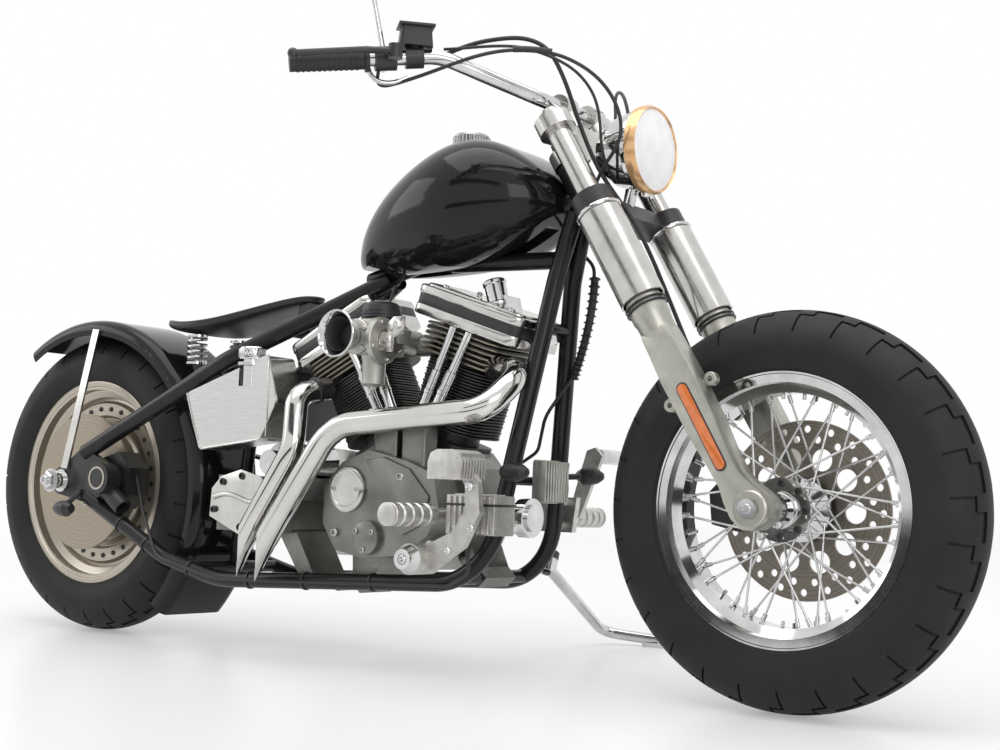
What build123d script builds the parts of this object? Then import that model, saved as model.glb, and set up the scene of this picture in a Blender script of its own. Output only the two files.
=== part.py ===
"""Chopper motorcycle: every piece in its own node, parked on its side stand.

All pieces are drawn on the upright motorcycle: X runs forward from the rear axle, Y to the
rider's left, Z up from the floor under the tyres. PARKED then leans the whole machine over
its side stand and moves the origin to the middle of the floor area it covers.
"""
import math
import os

from build123d import *

# ---------------------------------------------------------------- stance and steering
LEAN = 5.0                 # degrees to the left, as it rests on the side stand
ORIGIN_X = 814.5           # from the rear axle to the part's origin
ORIGIN_Y = 84.2            # towards the side it leans to
WHEELBASE = 1629.0
TYRE_RADIUS = 320.0
RAKE = 31.0                # steering axis behind the vertical, degrees
FORK_OFFSET = 58.0         # fork tubes ahead of the steering axis
AXLE_LEAD = 13.0           # front axle ahead of the fork tubes
FORK_SPREAD = 240.0        # between the centres of the fork tubes

# ---------------------------------------------------------------- clearances
SEAT_GAP = 0.3             # between pieces that lie against each other
RUNNING_FIT = 0.05         # on the radius of a turning pin
TYRE_FIT = 0.4             # between bead and rim

# ---------------------------------------------------------------- wheels
FRONT_TYRE_WIDTH = 130.0
REAR_TYRE_WIDTH = 134.0
TYRE_WALL = 9.0
BEAD_RADIUS = 204.0
FLANGE_RADIUS = 218.0
RIM_WALL = 3.0
RIM_HALF_WIDTH = 45.0
RIM_WELL_RADIUS = 186.0
FLANGE_LIP = 5.0

HUB_FLANGE_RADIUS = 51.0
HUB_FLANGE_Y = 34.0
HUB_FLANGE_THICK = 6.0
HUB_BARREL_RADIUS = 30.0
HUB_HALF_WIDTH = 64.0
SPOKE_COUNT = 40
SPOKE_RADIUS = 1.9
NIPPLE_RADIUS = 3.6
NIPPLE_LENGTH = 14.0
NIPPLE_SETBACK = 1.4       # from the rim to the middle of a slanting nipple's end
SPOKE_CROSS = 58.0         # degrees from a spoke's hub hole to its rim hole
SPOKE_HUB_RADIUS = 44.0

DISC_RADIUS = 146.0
DISC_THICK = 5.0
DISC_HOLE_RADIUS = 6.0

AXLE_RADIUS = 12.5
REAR_AXLE_RADIUS = 12.5
AXLE_END = 151.0           # half length of the front axle
REAR_AXLE_END = 146.0

REAR_HUB_RADIUS = 42.0
REAR_HUB_RIGHT = 66.0
REAR_HUB_LEFT = 70.0
REAR_DISC_THICK = 6.0
PULLEY_RADIUS = 128.0
PULLEY_INNER = 74.0        # Y of the drive belt's inner edge
BELT_WIDTH = 24.0
BELT_THICK = 7.0
GEARBOX_PULLEY_RADIUS = 46.0
GEARBOX_PULLEY = (545.0, 300.0)

# ---------------------------------------------------------------- frame
RAIL_RADIUS = 15.0
STRUT_RADIUS = 17.0
BACKBONE_RADIUS = 19.0
DOWNTUBE_RADIUS = 16.0
HEAD_RADIUS = 29.0
PLATE_Y = 125.0            # middle of the axle plates
PLATE_THICK = 12.0
PIVOT_CAP = (141.0, 328.0)
PIVOT_CAP_RADIUS = 33.0

# ---------------------------------------------------------------- engine
V_APEX = (888.0, 250.0)    # where the two cylinder axes meet
FRONT_LEAN = 18.0          # cylinder axes from the vertical
REAR_LEAN = 27.0
ROCKER_TOP = 449.0         # along a cylinder axis from the apex
ROCKER_BOTTOM = 390.0
HEAD_BOTTOM = 332.0
BARREL_BOTTOM = 178.0

ABOVE = TYRE_RADIUS        # wheel axles above the floor


# ---------------------------------------------------------------- helpers
def rod(start, end, radius, mode=Mode.ADD):
    """Round bar from one point to another."""
    run = Vector(*end) - Vector(*start)
    with BuildSketch(Plane(origin=start, z_dir=run)) as section:
        Circle(radius)
    extrude(section.sketch, amount=run.length, mode=mode)


def tube(points, bends, radius, mode=Mode.ADD):
    """Round bar along straight runs joined by arcs, one bend radius for each corner."""
    with BuildLine() as route:
        FilletPolyline(*points, radius=bends)
    with BuildSketch(Plane(origin=route.line @ 0, z_dir=route.line % 0)) as section:
        Circle(radius)
    sweep(sections=section.sketch, path=route.line, mode=mode)


def mirrored(point):
    """The same point on the other side of the motorcycle."""
    return (point[0], -point[1], point[2])


def side_plate(outline, y_from, y_to, mode=Mode.ADD):
    """Flat plate seen from the side: an X, Z outline between two Y planes."""
    side = Plane(origin=(0, y_from, 0), x_dir=(1, 0, 0), z_dir=(0, -1, 0))
    with BuildSketch(side) as face:
        with BuildLine():
            Polyline(*outline, close=True)
        make_face()
    extrude(face.sketch, amount=y_from - y_to, mode=mode)


def cross_rod(x, z, y_from, y_to, radius, mode=Mode.ADD):
    """Round bar across the motorcycle."""
    rod((x, y_from, z), (x, y_to, z), radius, mode)


def ring_profile(points):
    """Closed profile of (Y, radius) points, turned about an axle along Y."""
    with BuildSketch(Plane.YZ) as profile:
        with BuildLine():
            Polyline(*points, close=True)
        make_face()
    return profile.sketch


rake = math.radians(RAKE)
FRONT_AXLE = Vector(WHEELBASE, 0, ABOVE)
FORK_UP = Vector(-math.sin(rake), 0, math.cos(rake))
FORK_AHEAD = Vector(math.cos(rake), 0, math.sin(rake))
STEER_BASE = FRONT_AXLE - FORK_AHEAD * (FORK_OFFSET + AXLE_LEAD)
FORK = Plane(origin=STEER_BASE, x_dir=FORK_AHEAD, z_dir=FORK_UP)

lean = math.radians(LEAN)
crown = FRONT_TYRE_WIDTH / 2
FLOOR = Plane(
    origin=(0, crown * math.sin(lean), crown - crown * math.cos(lean)),
    x_dir=(1, 0, 0),
    z_dir=(0, -math.sin(lean), math.cos(lean)),
)
PARKED = (
    Location((-ORIGIN_X, -ORIGIN_Y, crown))
    * Location((0, 0, 0), (-LEAN, 0, 0))
    * Location((0, 0, -crown))
)


def keep(builder, name):
    """Name a finished piece and write it where it stands on the parked motorcycle."""
    builder.part.label = name
    parked = builder.part.moved(PARKED)
    parked.label = name
    export_step(parked, f"parts/{name}.step")


def fork_point(ahead, left, up):
    """A point given along the fork, in the motorcycle's frame."""
    place = STEER_BASE + FORK_AHEAD * ahead + FORK_UP * up
    return (place.X, left, place.Z)


os.makedirs("parts", exist_ok=True)

# ================================================================ frame
HEAD_FROM = 606.0          # head tube, along the steering axis
HEAD_TO = 736.0
head_low = fork_point(0, 0, HEAD_FROM)
head_high = fork_point(0, 0, HEAD_TO)
BACKBONE_REAR = (735.0, 0.0, 727.0)
BACKBONE_FRONT = fork_point(0, 0, 668.0)
CROSS_TUBE_REAR = (930.0, 0.0, 752.0)
CROSS_TUBE_FRONT = (1186.0, 0.0, 746.0)
DOWNTUBE_TOP = (1210.0, 16.0, 826.0)
DOWNTUBE_KNEE = (1181.0, 27.0, 707.0)
DOWNTUBE_FOOT = (1132.0, 76.0, 360.0)
RAIL_CORNER = (1104.0, 98.0, 171.0)
RAIL_FRONT = (960.0, 104.0, 164.0)
RAIL_REAR = (470.0, 120.0, 140.0)
RAIL_KNEE = (318.0, 122.0, 176.0)
RAIL_END = (84.0, 125.0, 286.0)
RAIL_POINTS = (DOWNTUBE_FOOT, RAIL_CORNER, RAIL_FRONT, RAIL_REAR, RAIL_KNEE, RAIL_END)
RAIL_BENDS = (130.0, 400.0, 300.0, 90.0)
STRUT_END = (66.0, 125.0, 380.0)
STRUT_BEND = (470.0, 116.0, 573.0)
STRUT_FRONT = (790.0, 12.0, 728.0)
STRUT_BEND_RADIUS = 220.0

with BuildPart() as frame_front:
    rod(head_low, head_high, HEAD_RADIUS)
    rod(BACKBONE_REAR, BACKBONE_FRONT, BACKBONE_RADIUS)
    rod(CROSS_TUBE_REAR, CROSS_TUBE_FRONT, DOWNTUBE_RADIUS)
    for side in (1, -1):
        top, knee, foot = [
            (x, side * y, z) for x, y, z in (DOWNTUBE_TOP, DOWNTUBE_KNEE, DOWNTUBE_FOOT)
        ]
        tube([top, knee, foot], [150.0], DOWNTUBE_RADIUS)
    STEM_BORE = 20.0
    rod(head_low, head_high, STEM_BORE, Mode.SUBTRACT)
keep(frame_front, "frame_front")

with BuildPart() as frame_rails:
    for side in (1, -1):
        route = [
            (x, side * y, z)
            for x, y, z in RAIL_POINTS
        ]
        tube(route, RAIL_BENDS, RAIL_RADIUS)
    add(frame_front.part, mode=Mode.SUBTRACT)
keep(frame_rails, "frame_rails")

AXLE_PLATE_OUTLINE = [(0, 350), (62, 392), (141, 361), (141, 295), (80, 276), (0, 290)]
with BuildPart() as axle_plates:
    for side in (1, -1):
        plate_from = side * PLATE_Y - PLATE_THICK / 2
        plate_to = side * PLATE_Y + PLATE_THICK / 2
        cross_rod(0, ABOVE, plate_from, plate_to, 30.0)
        cross_rod(*PIVOT_CAP, plate_from, plate_to, PIVOT_CAP_RADIUS)
        side_plate(AXLE_PLATE_OUTLINE, plate_from, plate_to)
        cap_y = side * (PLATE_Y + PLATE_THICK / 2 + 24.0)
        cross_rod(*PIVOT_CAP, side * PLATE_Y, cap_y, PIVOT_CAP_RADIUS)
        axle_hole = REAR_AXLE_RADIUS + SEAT_GAP
        cross_rod(0, ABOVE, side * (PLATE_Y - 20), side * (PLATE_Y + 20), axle_hole, Mode.SUBTRACT)
    add(frame_rails.part, mode=Mode.SUBTRACT)
keep(axle_plates, "axle_plates")

with BuildPart() as frame_struts:
    for side in (1, -1):
        route = [(x, side * y, z) for x, y, z in (STRUT_END, STRUT_BEND, STRUT_FRONT)]
        tube(route, [STRUT_BEND_RADIUS], STRUT_RADIUS)
    add(frame_front.part, mode=Mode.SUBTRACT)
    add(axle_plates.part, mode=Mode.SUBTRACT)
keep(frame_struts, "frame_struts")

# cross members: X, Z, half length, radius
CROSS_MEMBERS = (
    (775.0, 150.0, 108.0, 12.0),
    (1133.0, 352.0, 69.0, 8.0),
    (1170.0, 622.0, 40.0, 9.0),
    (1050.0, 178.0, 96.0, 12.0),
    (640.0, 148.0, 112.0, 12.0),
    (352.0, 512.0, 118.0, 12.0),
    (585.0, 628.0, 84.0, 10.0),
)
REGULATOR_BAR = ((1133.0, 0.0, 352.0), (1152.7, 0.0, 352.0), 8.0)
SPRING_POST = [(342, 508), (356, 522), (338, 568.7), (312, 568.7), (330, 540)]
SPRING_POST_Y = 60.0
with BuildPart() as cross_members:
    for x, z, half, radius in CROSS_MEMBERS:
        cross_rod(x, z, -half, half, radius)
    rod(*REGULATOR_BAR)
    for side in (1, -1):
        side_plate(SPRING_POST, side * SPRING_POST_Y - 7, side * SPRING_POST_Y + 7)
    add(frame_rails.part, mode=Mode.SUBTRACT)
    add(frame_struts.part, mode=Mode.SUBTRACT)
    add(frame_front.part, mode=Mode.SUBTRACT)
keep(cross_members, "cross_members")

# post under the seat with its two cross bars, and what it carries: start, end, radius
SEAT_POST = (
    ((398.0, 0.0, 158.0), (440.0, 0.0, 559.0), 13.0),
    ((398.0, -118.0, 158.0), (398.0, 118.0, 158.0), 12.0),
    ((440.0, -114.0, 559.0), (440.0, 114.0, 559.0), 12.0),
    ((440.0, -112.0, 559.0), (440.0, -112.0, 522.2), 6.0),     # oil tank hanger
    ((424.0, 0.0, 440.0), (469.7, 0.0, 440.0), 8.0),           # battery box, low
    ((434.0, 0.0, 530.0), (469.7, 0.0, 530.0), 8.0),
)
with BuildPart() as seat_post:
    for start, end, radius in SEAT_POST:
        rod(start, end, radius)
    add(frame_rails.part, mode=Mode.SUBTRACT)
    add(frame_struts.part, mode=Mode.SUBTRACT)
keep(seat_post, "seat_post")

# ================================================================ wheels
def tyre_profile(half_width, radius):
    """Hollow tyre section: round outside, round inside, open towards the rim."""
    shoulder = radius - half_width
    bead_y = RIM_HALF_WIDTH - TYRE_FIT
    with BuildSketch(Plane.YZ) as section:
        with BuildLine():
            Polyline(
                (-half_width, shoulder),
                (-bead_y, FLANGE_RADIUS + TYRE_FIT),
                (-bead_y, BEAD_RADIUS),
                (-bead_y + TYRE_WALL, BEAD_RADIUS),
                (-bead_y + TYRE_WALL, FLANGE_RADIUS + TYRE_WALL),
                (-half_width + TYRE_WALL, shoulder),
            )
            ThreePointArc(
                (-half_width + TYRE_WALL, shoulder),
                (0, radius - TYRE_WALL),
                (half_width - TYRE_WALL, shoulder),
            )
            Polyline(
                (half_width - TYRE_WALL, shoulder),
                (bead_y - TYRE_WALL, FLANGE_RADIUS + TYRE_WALL),
                (bead_y - TYRE_WALL, BEAD_RADIUS),
                (bead_y, BEAD_RADIUS),
                (bead_y, FLANGE_RADIUS + TYRE_FIT),
                (half_width, shoulder),
            )
            ThreePointArc((half_width, shoulder), (0, radius), (-half_width, shoulder))
        make_face()
    return section.sketch


def rim_outline():
    """Points of the rim section in order, right flange to left flange and back."""
    seat = BEAD_RADIUS - TYRE_FIT
    upper = [
        (-RIM_HALF_WIDTH - FLANGE_LIP, FLANGE_RADIUS),
        (-RIM_HALF_WIDTH, FLANGE_RADIUS),
        (-RIM_HALF_WIDTH, seat),
        (-RIM_HALF_WIDTH + 18, seat),
        (-RIM_HALF_WIDTH + 26, RIM_WELL_RADIUS + RIM_WALL),
    ]
    lower = [
        (-RIM_HALF_WIDTH + 24, RIM_WELL_RADIUS),
        (-RIM_HALF_WIDTH + 16, seat - RIM_WALL),
        (-RIM_HALF_WIDTH - RIM_WALL, seat - RIM_WALL),
        (-RIM_HALF_WIDTH - RIM_WALL, FLANGE_RADIUS - RIM_WALL),
        (-RIM_HALF_WIDTH - FLANGE_LIP, FLANGE_RADIUS - RIM_WALL),
    ]
    upper_left = [(-y, radius) for y, radius in reversed(upper)]
    lower_left = [(-y, radius) for y, radius in reversed(lower)]
    return upper + upper_left + lower_left + lower


def wheel_axis(x):
    """Axle line across the motorcycle at X."""
    return Axis((x, 0, ABOVE), (0, 1, 0))


def placed(sketch, x):
    """A wheel profile moved up to an axle."""
    return sketch.moved(Location((x, 0, ABOVE)))


for name, x, half_width in (
    ("front_tyre", WHEELBASE, FRONT_TYRE_WIDTH / 2),
    ("rear_tyre", 0.0, REAR_TYRE_WIDTH / 2),
):
    with BuildPart() as tyre:
        revolve(placed(tyre_profile(half_width, TYRE_RADIUS), x), axis=wheel_axis(x))
    keep(tyre, name)

with BuildPart() as front_rim:
    revolve(placed(ring_profile(rim_outline()), WHEELBASE), axis=wheel_axis(WHEELBASE))
keep(front_rim, "front_rim")

with BuildPart() as front_hub:
    hub = [
        (-HUB_HALF_WIDTH, AXLE_RADIUS + RUNNING_FIT),
        (-HUB_HALF_WIDTH, 24.0),
        (-HUB_FLANGE_Y - HUB_FLANGE_THICK, 28.0),
        (-HUB_FLANGE_Y - HUB_FLANGE_THICK, HUB_FLANGE_RADIUS),
        (-HUB_FLANGE_Y, HUB_FLANGE_RADIUS),
        (-HUB_FLANGE_Y + 8, HUB_BARREL_RADIUS),
        (HUB_FLANGE_Y - 8, HUB_BARREL_RADIUS),
        (HUB_FLANGE_Y, HUB_FLANGE_RADIUS),
        (HUB_FLANGE_Y + HUB_FLANGE_THICK, HUB_FLANGE_RADIUS),
        (HUB_FLANGE_Y + HUB_FLANGE_THICK, 28.0),
        (HUB_HALF_WIDTH - 6, 28.0),
        (HUB_HALF_WIDTH, 24.0),
        (HUB_HALF_WIDTH, AXLE_RADIUS + RUNNING_FIT),
    ]
    revolve(placed(ring_profile(hub), WHEELBASE), axis=wheel_axis(WHEELBASE))
    # spokes: side of the hub, angle of the first, way it leans
    SPOKE_SETS = (
        (1, 0.0, 1),
        (1, 18.0, -1),
        (-1, 9.0, 1),
        (-1, 27.0, -1),
    )
    rim_inside = RIM_WELL_RADIUS - NIPPLE_SETBACK
    for side, first, way in SPOKE_SETS:
        flange_y = side * (HUB_FLANGE_Y + HUB_FLANGE_THICK / 2)
        for turn in range(SPOKE_COUNT // 4):
            hub_angle = math.radians(first + turn * 1440.0 / SPOKE_COUNT)
            rim_angle = hub_angle + math.radians(way * SPOKE_CROSS)
            hub_end = Vector(
                WHEELBASE + SPOKE_HUB_RADIUS * math.cos(hub_angle),
                flange_y + way * 2.2,
                ABOVE + SPOKE_HUB_RADIUS * math.sin(hub_angle),
            )
            rim_end = Vector(
                WHEELBASE + rim_inside * math.cos(rim_angle),
                side * 8.0,
                ABOVE + rim_inside * math.sin(rim_angle),
            )
            rod(tuple(hub_end), tuple(rim_end), SPOKE_RADIUS)
            run = (rim_end - hub_end).normalized()
            rod(tuple(rim_end - run * NIPPLE_LENGTH), tuple(rim_end), NIPPLE_RADIUS)
keep(front_hub, "front_hub")

disc_y = HUB_FLANGE_Y + HUB_FLANGE_THICK + 12
with BuildPart() as front_disc:
    cross_rod(WHEELBASE, ABOVE, disc_y, disc_y + DISC_THICK, DISC_RADIUS)
    cross_rod(WHEELBASE, ABOVE, disc_y, disc_y + DISC_THICK, 28.0 + SEAT_GAP, Mode.SUBTRACT)
    for ring_radius, count, first in ((132.0, 20, 0.0), (116.0, 20, 9.0), (86.0, 10, 0.0)):
        hole = DISC_HOLE_RADIUS if ring_radius > 100 else 3 * DISC_HOLE_RADIUS
        for turn in range(count):
            angle = math.radians(first + turn * 360.0 / count)
            hole_x = WHEELBASE + ring_radius * math.cos(angle)
            hole_z = ABOVE + ring_radius * math.sin(angle)
            cross_rod(hole_x, hole_z, disc_y - 1, disc_y + DISC_THICK + 1, hole, Mode.SUBTRACT)
keep(front_disc, "front_disc")

with BuildPart() as rear_wheel:
    revolve(placed(ring_profile(rim_outline()), 0.0), axis=wheel_axis(0.0))
    web = [
        (-REAR_HUB_RIGHT, REAR_AXLE_RADIUS + RUNNING_FIT),
        (-REAR_HUB_RIGHT, REAR_HUB_RADIUS - 8),
        (-52.0, REAR_HUB_RADIUS),
        (-34.0, REAR_HUB_RADIUS + 4),
        (-30.0, 80.0),
        (-22.0, 84.0),
        (-20.0, 118.0),
        (-14.0, 122.0),
        (-12.0, 140.0),
        (-22.0, 146.0),
        (-22.0, 172.0),
        (-12.0, 178.0),
        (-10.0, RIM_WELL_RADIUS + 1),
        (10.0, RIM_WELL_RADIUS + 1),
        (12.0, 178.0),
        (14.0, 140.0),
        (20.0, 84.0),
        (30.0, REAR_HUB_RADIUS + 4),
        (REAR_HUB_LEFT, REAR_HUB_RADIUS),
        (REAR_HUB_LEFT, PULLEY_RADIUS - 2),
        (PULLEY_INNER - 2, PULLEY_RADIUS + 4),
        (PULLEY_INNER - SEAT_GAP, PULLEY_RADIUS + 4),
        (PULLEY_INNER - SEAT_GAP, PULLEY_RADIUS),
        (PULLEY_INNER + BELT_WIDTH, PULLEY_RADIUS),
        (PULLEY_INNER + BELT_WIDTH, PULLEY_RADIUS - 10),
        (REAR_HUB_LEFT + 8, PULLEY_RADIUS - 14),
        (REAR_HUB_LEFT + 8, 40.0),
        (REAR_HUB_LEFT + 24, 32.0),
        (REAR_HUB_LEFT + 24, REAR_AXLE_RADIUS + RUNNING_FIT),
    ]
    revolve(placed(ring_profile(web), 0.0), axis=wheel_axis(0.0))
keep(rear_wheel, "rear_wheel")

with BuildPart() as rear_axle:
    cross_rod(0, ABOVE, -REAR_AXLE_END, REAR_AXLE_END, REAR_AXLE_RADIUS)
    for side, hub_end in ((-1, REAR_HUB_RIGHT + 2 + REAR_DISC_THICK), (1, REAR_HUB_LEFT + 24)):
        plate_inner = PLATE_Y - PLATE_THICK / 2
        plate_outer = PLATE_Y + PLATE_THICK / 2
        cross_rod(0, ABOVE, side * (hub_end + SEAT_GAP), side * (plate_inner - SEAT_GAP), 20.0)
        cross_rod(0, ABOVE, side * (plate_outer + SEAT_GAP), side * (plate_outer + 4), 24.0)
        cross_rod(0, ABOVE, side * (plate_outer + 3), side * (plate_outer + 14), 17.0)
keep(rear_axle, "rear_axle")

AXLE_BOSS_INNER = 88.0
with BuildPart() as front_axle:
    cross_rod(WHEELBASE, ABOVE, -AXLE_END, AXLE_END, AXLE_RADIUS)
    for side in (-1, 1):
        spacer_from = side * (HUB_HALF_WIDTH + SEAT_GAP)
        spacer_to = side * (AXLE_BOSS_INNER - SEAT_GAP)
        cross_rod(WHEELBASE, ABOVE, spacer_from, spacer_to, 18.0)
        cross_rod(WHEELBASE, ABOVE, side * (AXLE_END - 0.5), side * (AXLE_END + 8), 15.0)
keep(front_axle, "front_axle")

# ================================================================ fork
TUBE_RADIUS = 20.5
CAN_RADIUS = 38.0
CAN_FROM = 393.0
SLIDER_RADIUS = 29.0
SLIDER_TOP = 410.0
SLIDER_FOOT = -26.0
LOW_CLAMP_FROM = 571.0
LOW_CLAMP_TO = 603.0
TOP_CLAMP_FROM = 738.0
TOP_CLAMP_TO = 766.0
LUG_UP = 218.0             # fender lug holes, along the fork from the axle
LUG_AHEAD = 41.0
LUG_HOLE = 4.2
LUG_THICK = 14.0
STEM_RADIUS = 14.0


def fork_plane(left, up=0.0, ahead=FORK_OFFSET):
    """Plane across a fork tube, its normal along the tube."""
    place = fork_point(ahead, left, up)
    return Plane(origin=place, x_dir=tuple(FORK_AHEAD), z_dir=tuple(FORK_UP))


def fork_turned(left, stations):
    """Turned piece on a fork tube: (radius, distance up) stations from bottom to top."""
    upright = Plane(origin=fork_point(FORK_OFFSET, left, 0), x_dir=tuple(FORK_AHEAD), z_dir=(0, -1, 0))
    with BuildSketch(upright) as section:
        with BuildLine():
            Polyline((0, stations[0][1]), *stations, (0, stations[-1][1]), close=True)
        make_face()
    centre = Axis(fork_point(FORK_OFFSET, left, 0), tuple(FORK_UP))
    revolve(section.sketch, axis=centre)


with BuildPart() as fork_tubes:
    for side in (-1, 1):
        left = side * FORK_SPREAD / 2
        fork_turned(left, [(TUBE_RADIUS, 90.0), (TUBE_RADIUS, 776.0), (TUBE_RADIUS - 4, 780.0)])
        fork_turned(left, [
            (CAN_RADIUS, CAN_FROM),
            (CAN_RADIUS, LOW_CLAMP_FROM - 8),
            (CAN_RADIUS - 5, LOW_CLAMP_FROM - SEAT_GAP),
        ])
        with BuildSketch(fork_plane(left, CAN_FROM)) as bell:
            Circle(CAN_RADIUS - 3)
            Circle(TUBE_RADIUS, mode=Mode.SUBTRACT)
        extrude(bell.sketch, amount=40, mode=Mode.SUBTRACT)
keep(fork_tubes, "fork_tubes")

with BuildPart() as fork_sliders:
    for side in (-1, 1):
        left = side * FORK_SPREAD / 2
        fork_turned(left, [
            (SLIDER_RADIUS - 6, SLIDER_FOOT),
            (SLIDER_RADIUS, SLIDER_FOOT + 8),
            (SLIDER_RADIUS, 250.0),
            (SLIDER_RADIUS - 3, 300.0),
            (SLIDER_RADIUS + 2, 345.0),
            (SLIDER_RADIUS + 2, SLIDER_TOP),
        ])
        cross_rod(WHEELBASE, ABOVE, side * AXLE_BOSS_INNER, side * (AXLE_END - 1), 29.0)
        for ahead in (-1, 1):
            lug = fork_point(FORK_OFFSET + ahead * LUG_AHEAD, 0, LUG_UP)
            inner = side * (FORK_SPREAD / 2 - LUG_THICK)
            outer = side * FORK_SPREAD / 2
            cross_rod(lug[0], lug[2], inner, outer, 11.0)
            middle = (inner + outer) / 2
            rod((lug[0], middle, lug[2]), fork_point(FORK_OFFSET, middle, LUG_UP), 6.9)
        tube_room = TUBE_RADIUS + SEAT_GAP
        bore_foot = fork_point(FORK_OFFSET, left, 89)
        rod(bore_foot, fork_point(FORK_OFFSET, left, SLIDER_TOP + 1), tube_room, Mode.SUBTRACT)
        cross_rod(WHEELBASE, ABOVE, side * 80, side * 160, AXLE_RADIUS + SEAT_GAP, Mode.SUBTRACT)
        for ahead in (-1, 1):
            lug = fork_point(FORK_OFFSET + ahead * LUG_AHEAD, 0, LUG_UP)
            cross_rod(lug[0], lug[2], side * 90, side * 130, LUG_HOLE, Mode.SUBTRACT)
keep(fork_sliders, "fork_sliders")


def clamp_outline(boss, centre_half):
    """Fork clamp seen along the fork: two round bosses and the web between them."""
    with BuildSketch() as outline:
        with Locations((FORK_OFFSET, FORK_SPREAD / 2), (FORK_OFFSET, -FORK_SPREAD / 2)):
            Circle(boss)
        with Locations((FORK_OFFSET - 12, 0)):
            Rectangle(2 * centre_half, FORK_SPREAD)
        Circle(HEAD_RADIUS + 3)
        with Locations((FORK_OFFSET / 2, 0)):
            Rectangle(FORK_OFFSET, 1.6 * HEAD_RADIUS)
    return outline.sketch


def on_fork(sketch, up):
    """A sketch drawn about the steering axis, moved up along it."""
    plane = Plane(origin=fork_point(0, 0, up), x_dir=tuple(FORK_AHEAD), z_dir=tuple(FORK_UP))
    return plane.from_local_coords(sketch)


with BuildPart() as steering_stem:
    lower_clamp = on_fork(clamp_outline(CAN_RADIUS - 3, 22), LOW_CLAMP_FROM)
    extrude(lower_clamp, amount=LOW_CLAMP_TO - LOW_CLAMP_FROM)
    rod(fork_point(0, 0, LOW_CLAMP_TO - 2), fork_point(0, 0, HEAD_FROM - SEAT_GAP), HEAD_RADIUS - 3)
    rod(fork_point(0, 0, LOW_CLAMP_TO - 2), fork_point(0, 0, TOP_CLAMP_TO + 6), STEM_RADIUS)
    rod(fork_point(0, 0, TOP_CLAMP_TO + 5), fork_point(0, 0, TOP_CLAMP_TO + 22), STEM_RADIUS + 5)
    for side in (-1, 1):
        left = side * FORK_SPREAD / 2
        bore_foot = fork_point(FORK_OFFSET, left, LOW_CLAMP_FROM - 1)
        rod(bore_foot, fork_point(FORK_OFFSET, left, LOW_CLAMP_TO + 1), tube_room, Mode.SUBTRACT)
keep(steering_stem, "steering_stem")

RISER_Y = 45.0
BAR_UP = 813.0
BAR_AHEAD = 54.0
BAR_RADIUS = 12.7
with BuildPart() as top_clamp:
    upper_clamp = on_fork(clamp_outline(CAN_RADIUS - 5, 20), TOP_CLAMP_FROM)
    extrude(upper_clamp, amount=TOP_CLAMP_TO - TOP_CLAMP_FROM)
    bar = fork_point(BAR_AHEAD, 0, BAR_UP)
    for side in (-1, 1):
        left = side * FORK_SPREAD / 2
        riser_foot = fork_point(BAR_AHEAD, side * RISER_Y, TOP_CLAMP_TO - 2)
        rod(riser_foot, fork_point(BAR_AHEAD, side * RISER_Y, BAR_UP), 15.0)
        cross_rod(bar[0], bar[2], side * (RISER_Y - 17), side * (RISER_Y + 17), 22.0)
        bore_foot = fork_point(FORK_OFFSET, left, TOP_CLAMP_FROM - 1)
        rod(bore_foot, fork_point(FORK_OFFSET, left, TOP_CLAMP_TO + 1), tube_room, Mode.SUBTRACT)
    stem_room = STEM_RADIUS + SEAT_GAP
    rod(fork_point(0, 0, HEAD_TO - 1), fork_point(0, 0, TOP_CLAMP_TO + 1), stem_room, Mode.SUBTRACT)
    cross_rod(bar[0], bar[2], -80, 80, BAR_RADIUS + SEAT_GAP, Mode.SUBTRACT)
keep(top_clamp, "top_clamp")

# ================================================================ engine
def cylinder_plane(lean_ahead, along):
    """Plane across a cylinder, its X ahead and its normal up the cylinder axis."""
    tilt = math.radians(lean_ahead)
    up = (math.sin(tilt), 0, math.cos(tilt))
    ahead = (math.cos(tilt), 0, -math.sin(tilt))
    origin = (V_APEX[0] + along * up[0], 0, V_APEX[1] + along * up[2])
    return Plane(origin=origin, x_dir=ahead, z_dir=up)


def cylinder_slab(lean_ahead, along, thick, length, width, corner, ahead=0.0, left=0.0, mode=Mode.ADD):
    """Flat rounded slab across a cylinder, from one distance along its axis."""
    with BuildSketch(cylinder_plane(lean_ahead, along)) as slab:
        with Locations((ahead, left)):
            RectangleRounded(length, width, corner)
    extrude(slab.sketch, amount=thick, mode=mode)


CYLINDER_LEANS = (FRONT_LEAN, -REAR_LEAN)
FIN_THICK = 3.0
BARREL_FIN_PITCH = 11.5
HEAD_FIN_PITCH = 10.5
BARREL_FIN = (146.0, 140.0, 44.0)      # length, width, corner radius
HEAD_FIN = (176.0, 150.0, 30.0)
BARREL_RADIUS = 50.0
FIN_BOTTOM = 212.0
CASE_HALF_WIDTH = 62.0

CASE_OUTLINE = (
    (752.0, 300.0), (762.0, 232.0), (812.0, 190.0), (960.0, 186.0), (1016.0, 214.0),
    (1034.0, 290.0), (1022.0, 372.0), (985.0, 412.0), (930.0, 432.0), (850.0, 436.0),
    (790.0, 410.0), (758.0, 360.0),
)
CAM_OUTLINE = (
    (758.0, 262.0), (758.0, 330.0), (798.0, 374.0), (862.0, 398.0), (950.0, 380.0),
    (1012.0, 358.0), (1026.0, 300.0), (1004.0, 250.0), (950.0, 214.0), (860.0, 203.0),
    (790.0, 214.0),
)
CAM_FACE = -138.0
PUSHROD_FOOT_Y = -100.0
PUSHROD_HEAD_Y = -79.0
LIFTER_BLOCKS = ((948.0, 358.0, 440.0), (882.0, 362.0, 440.0))     # X, foot and top
MOUNT_HALF = 46.0
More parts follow.
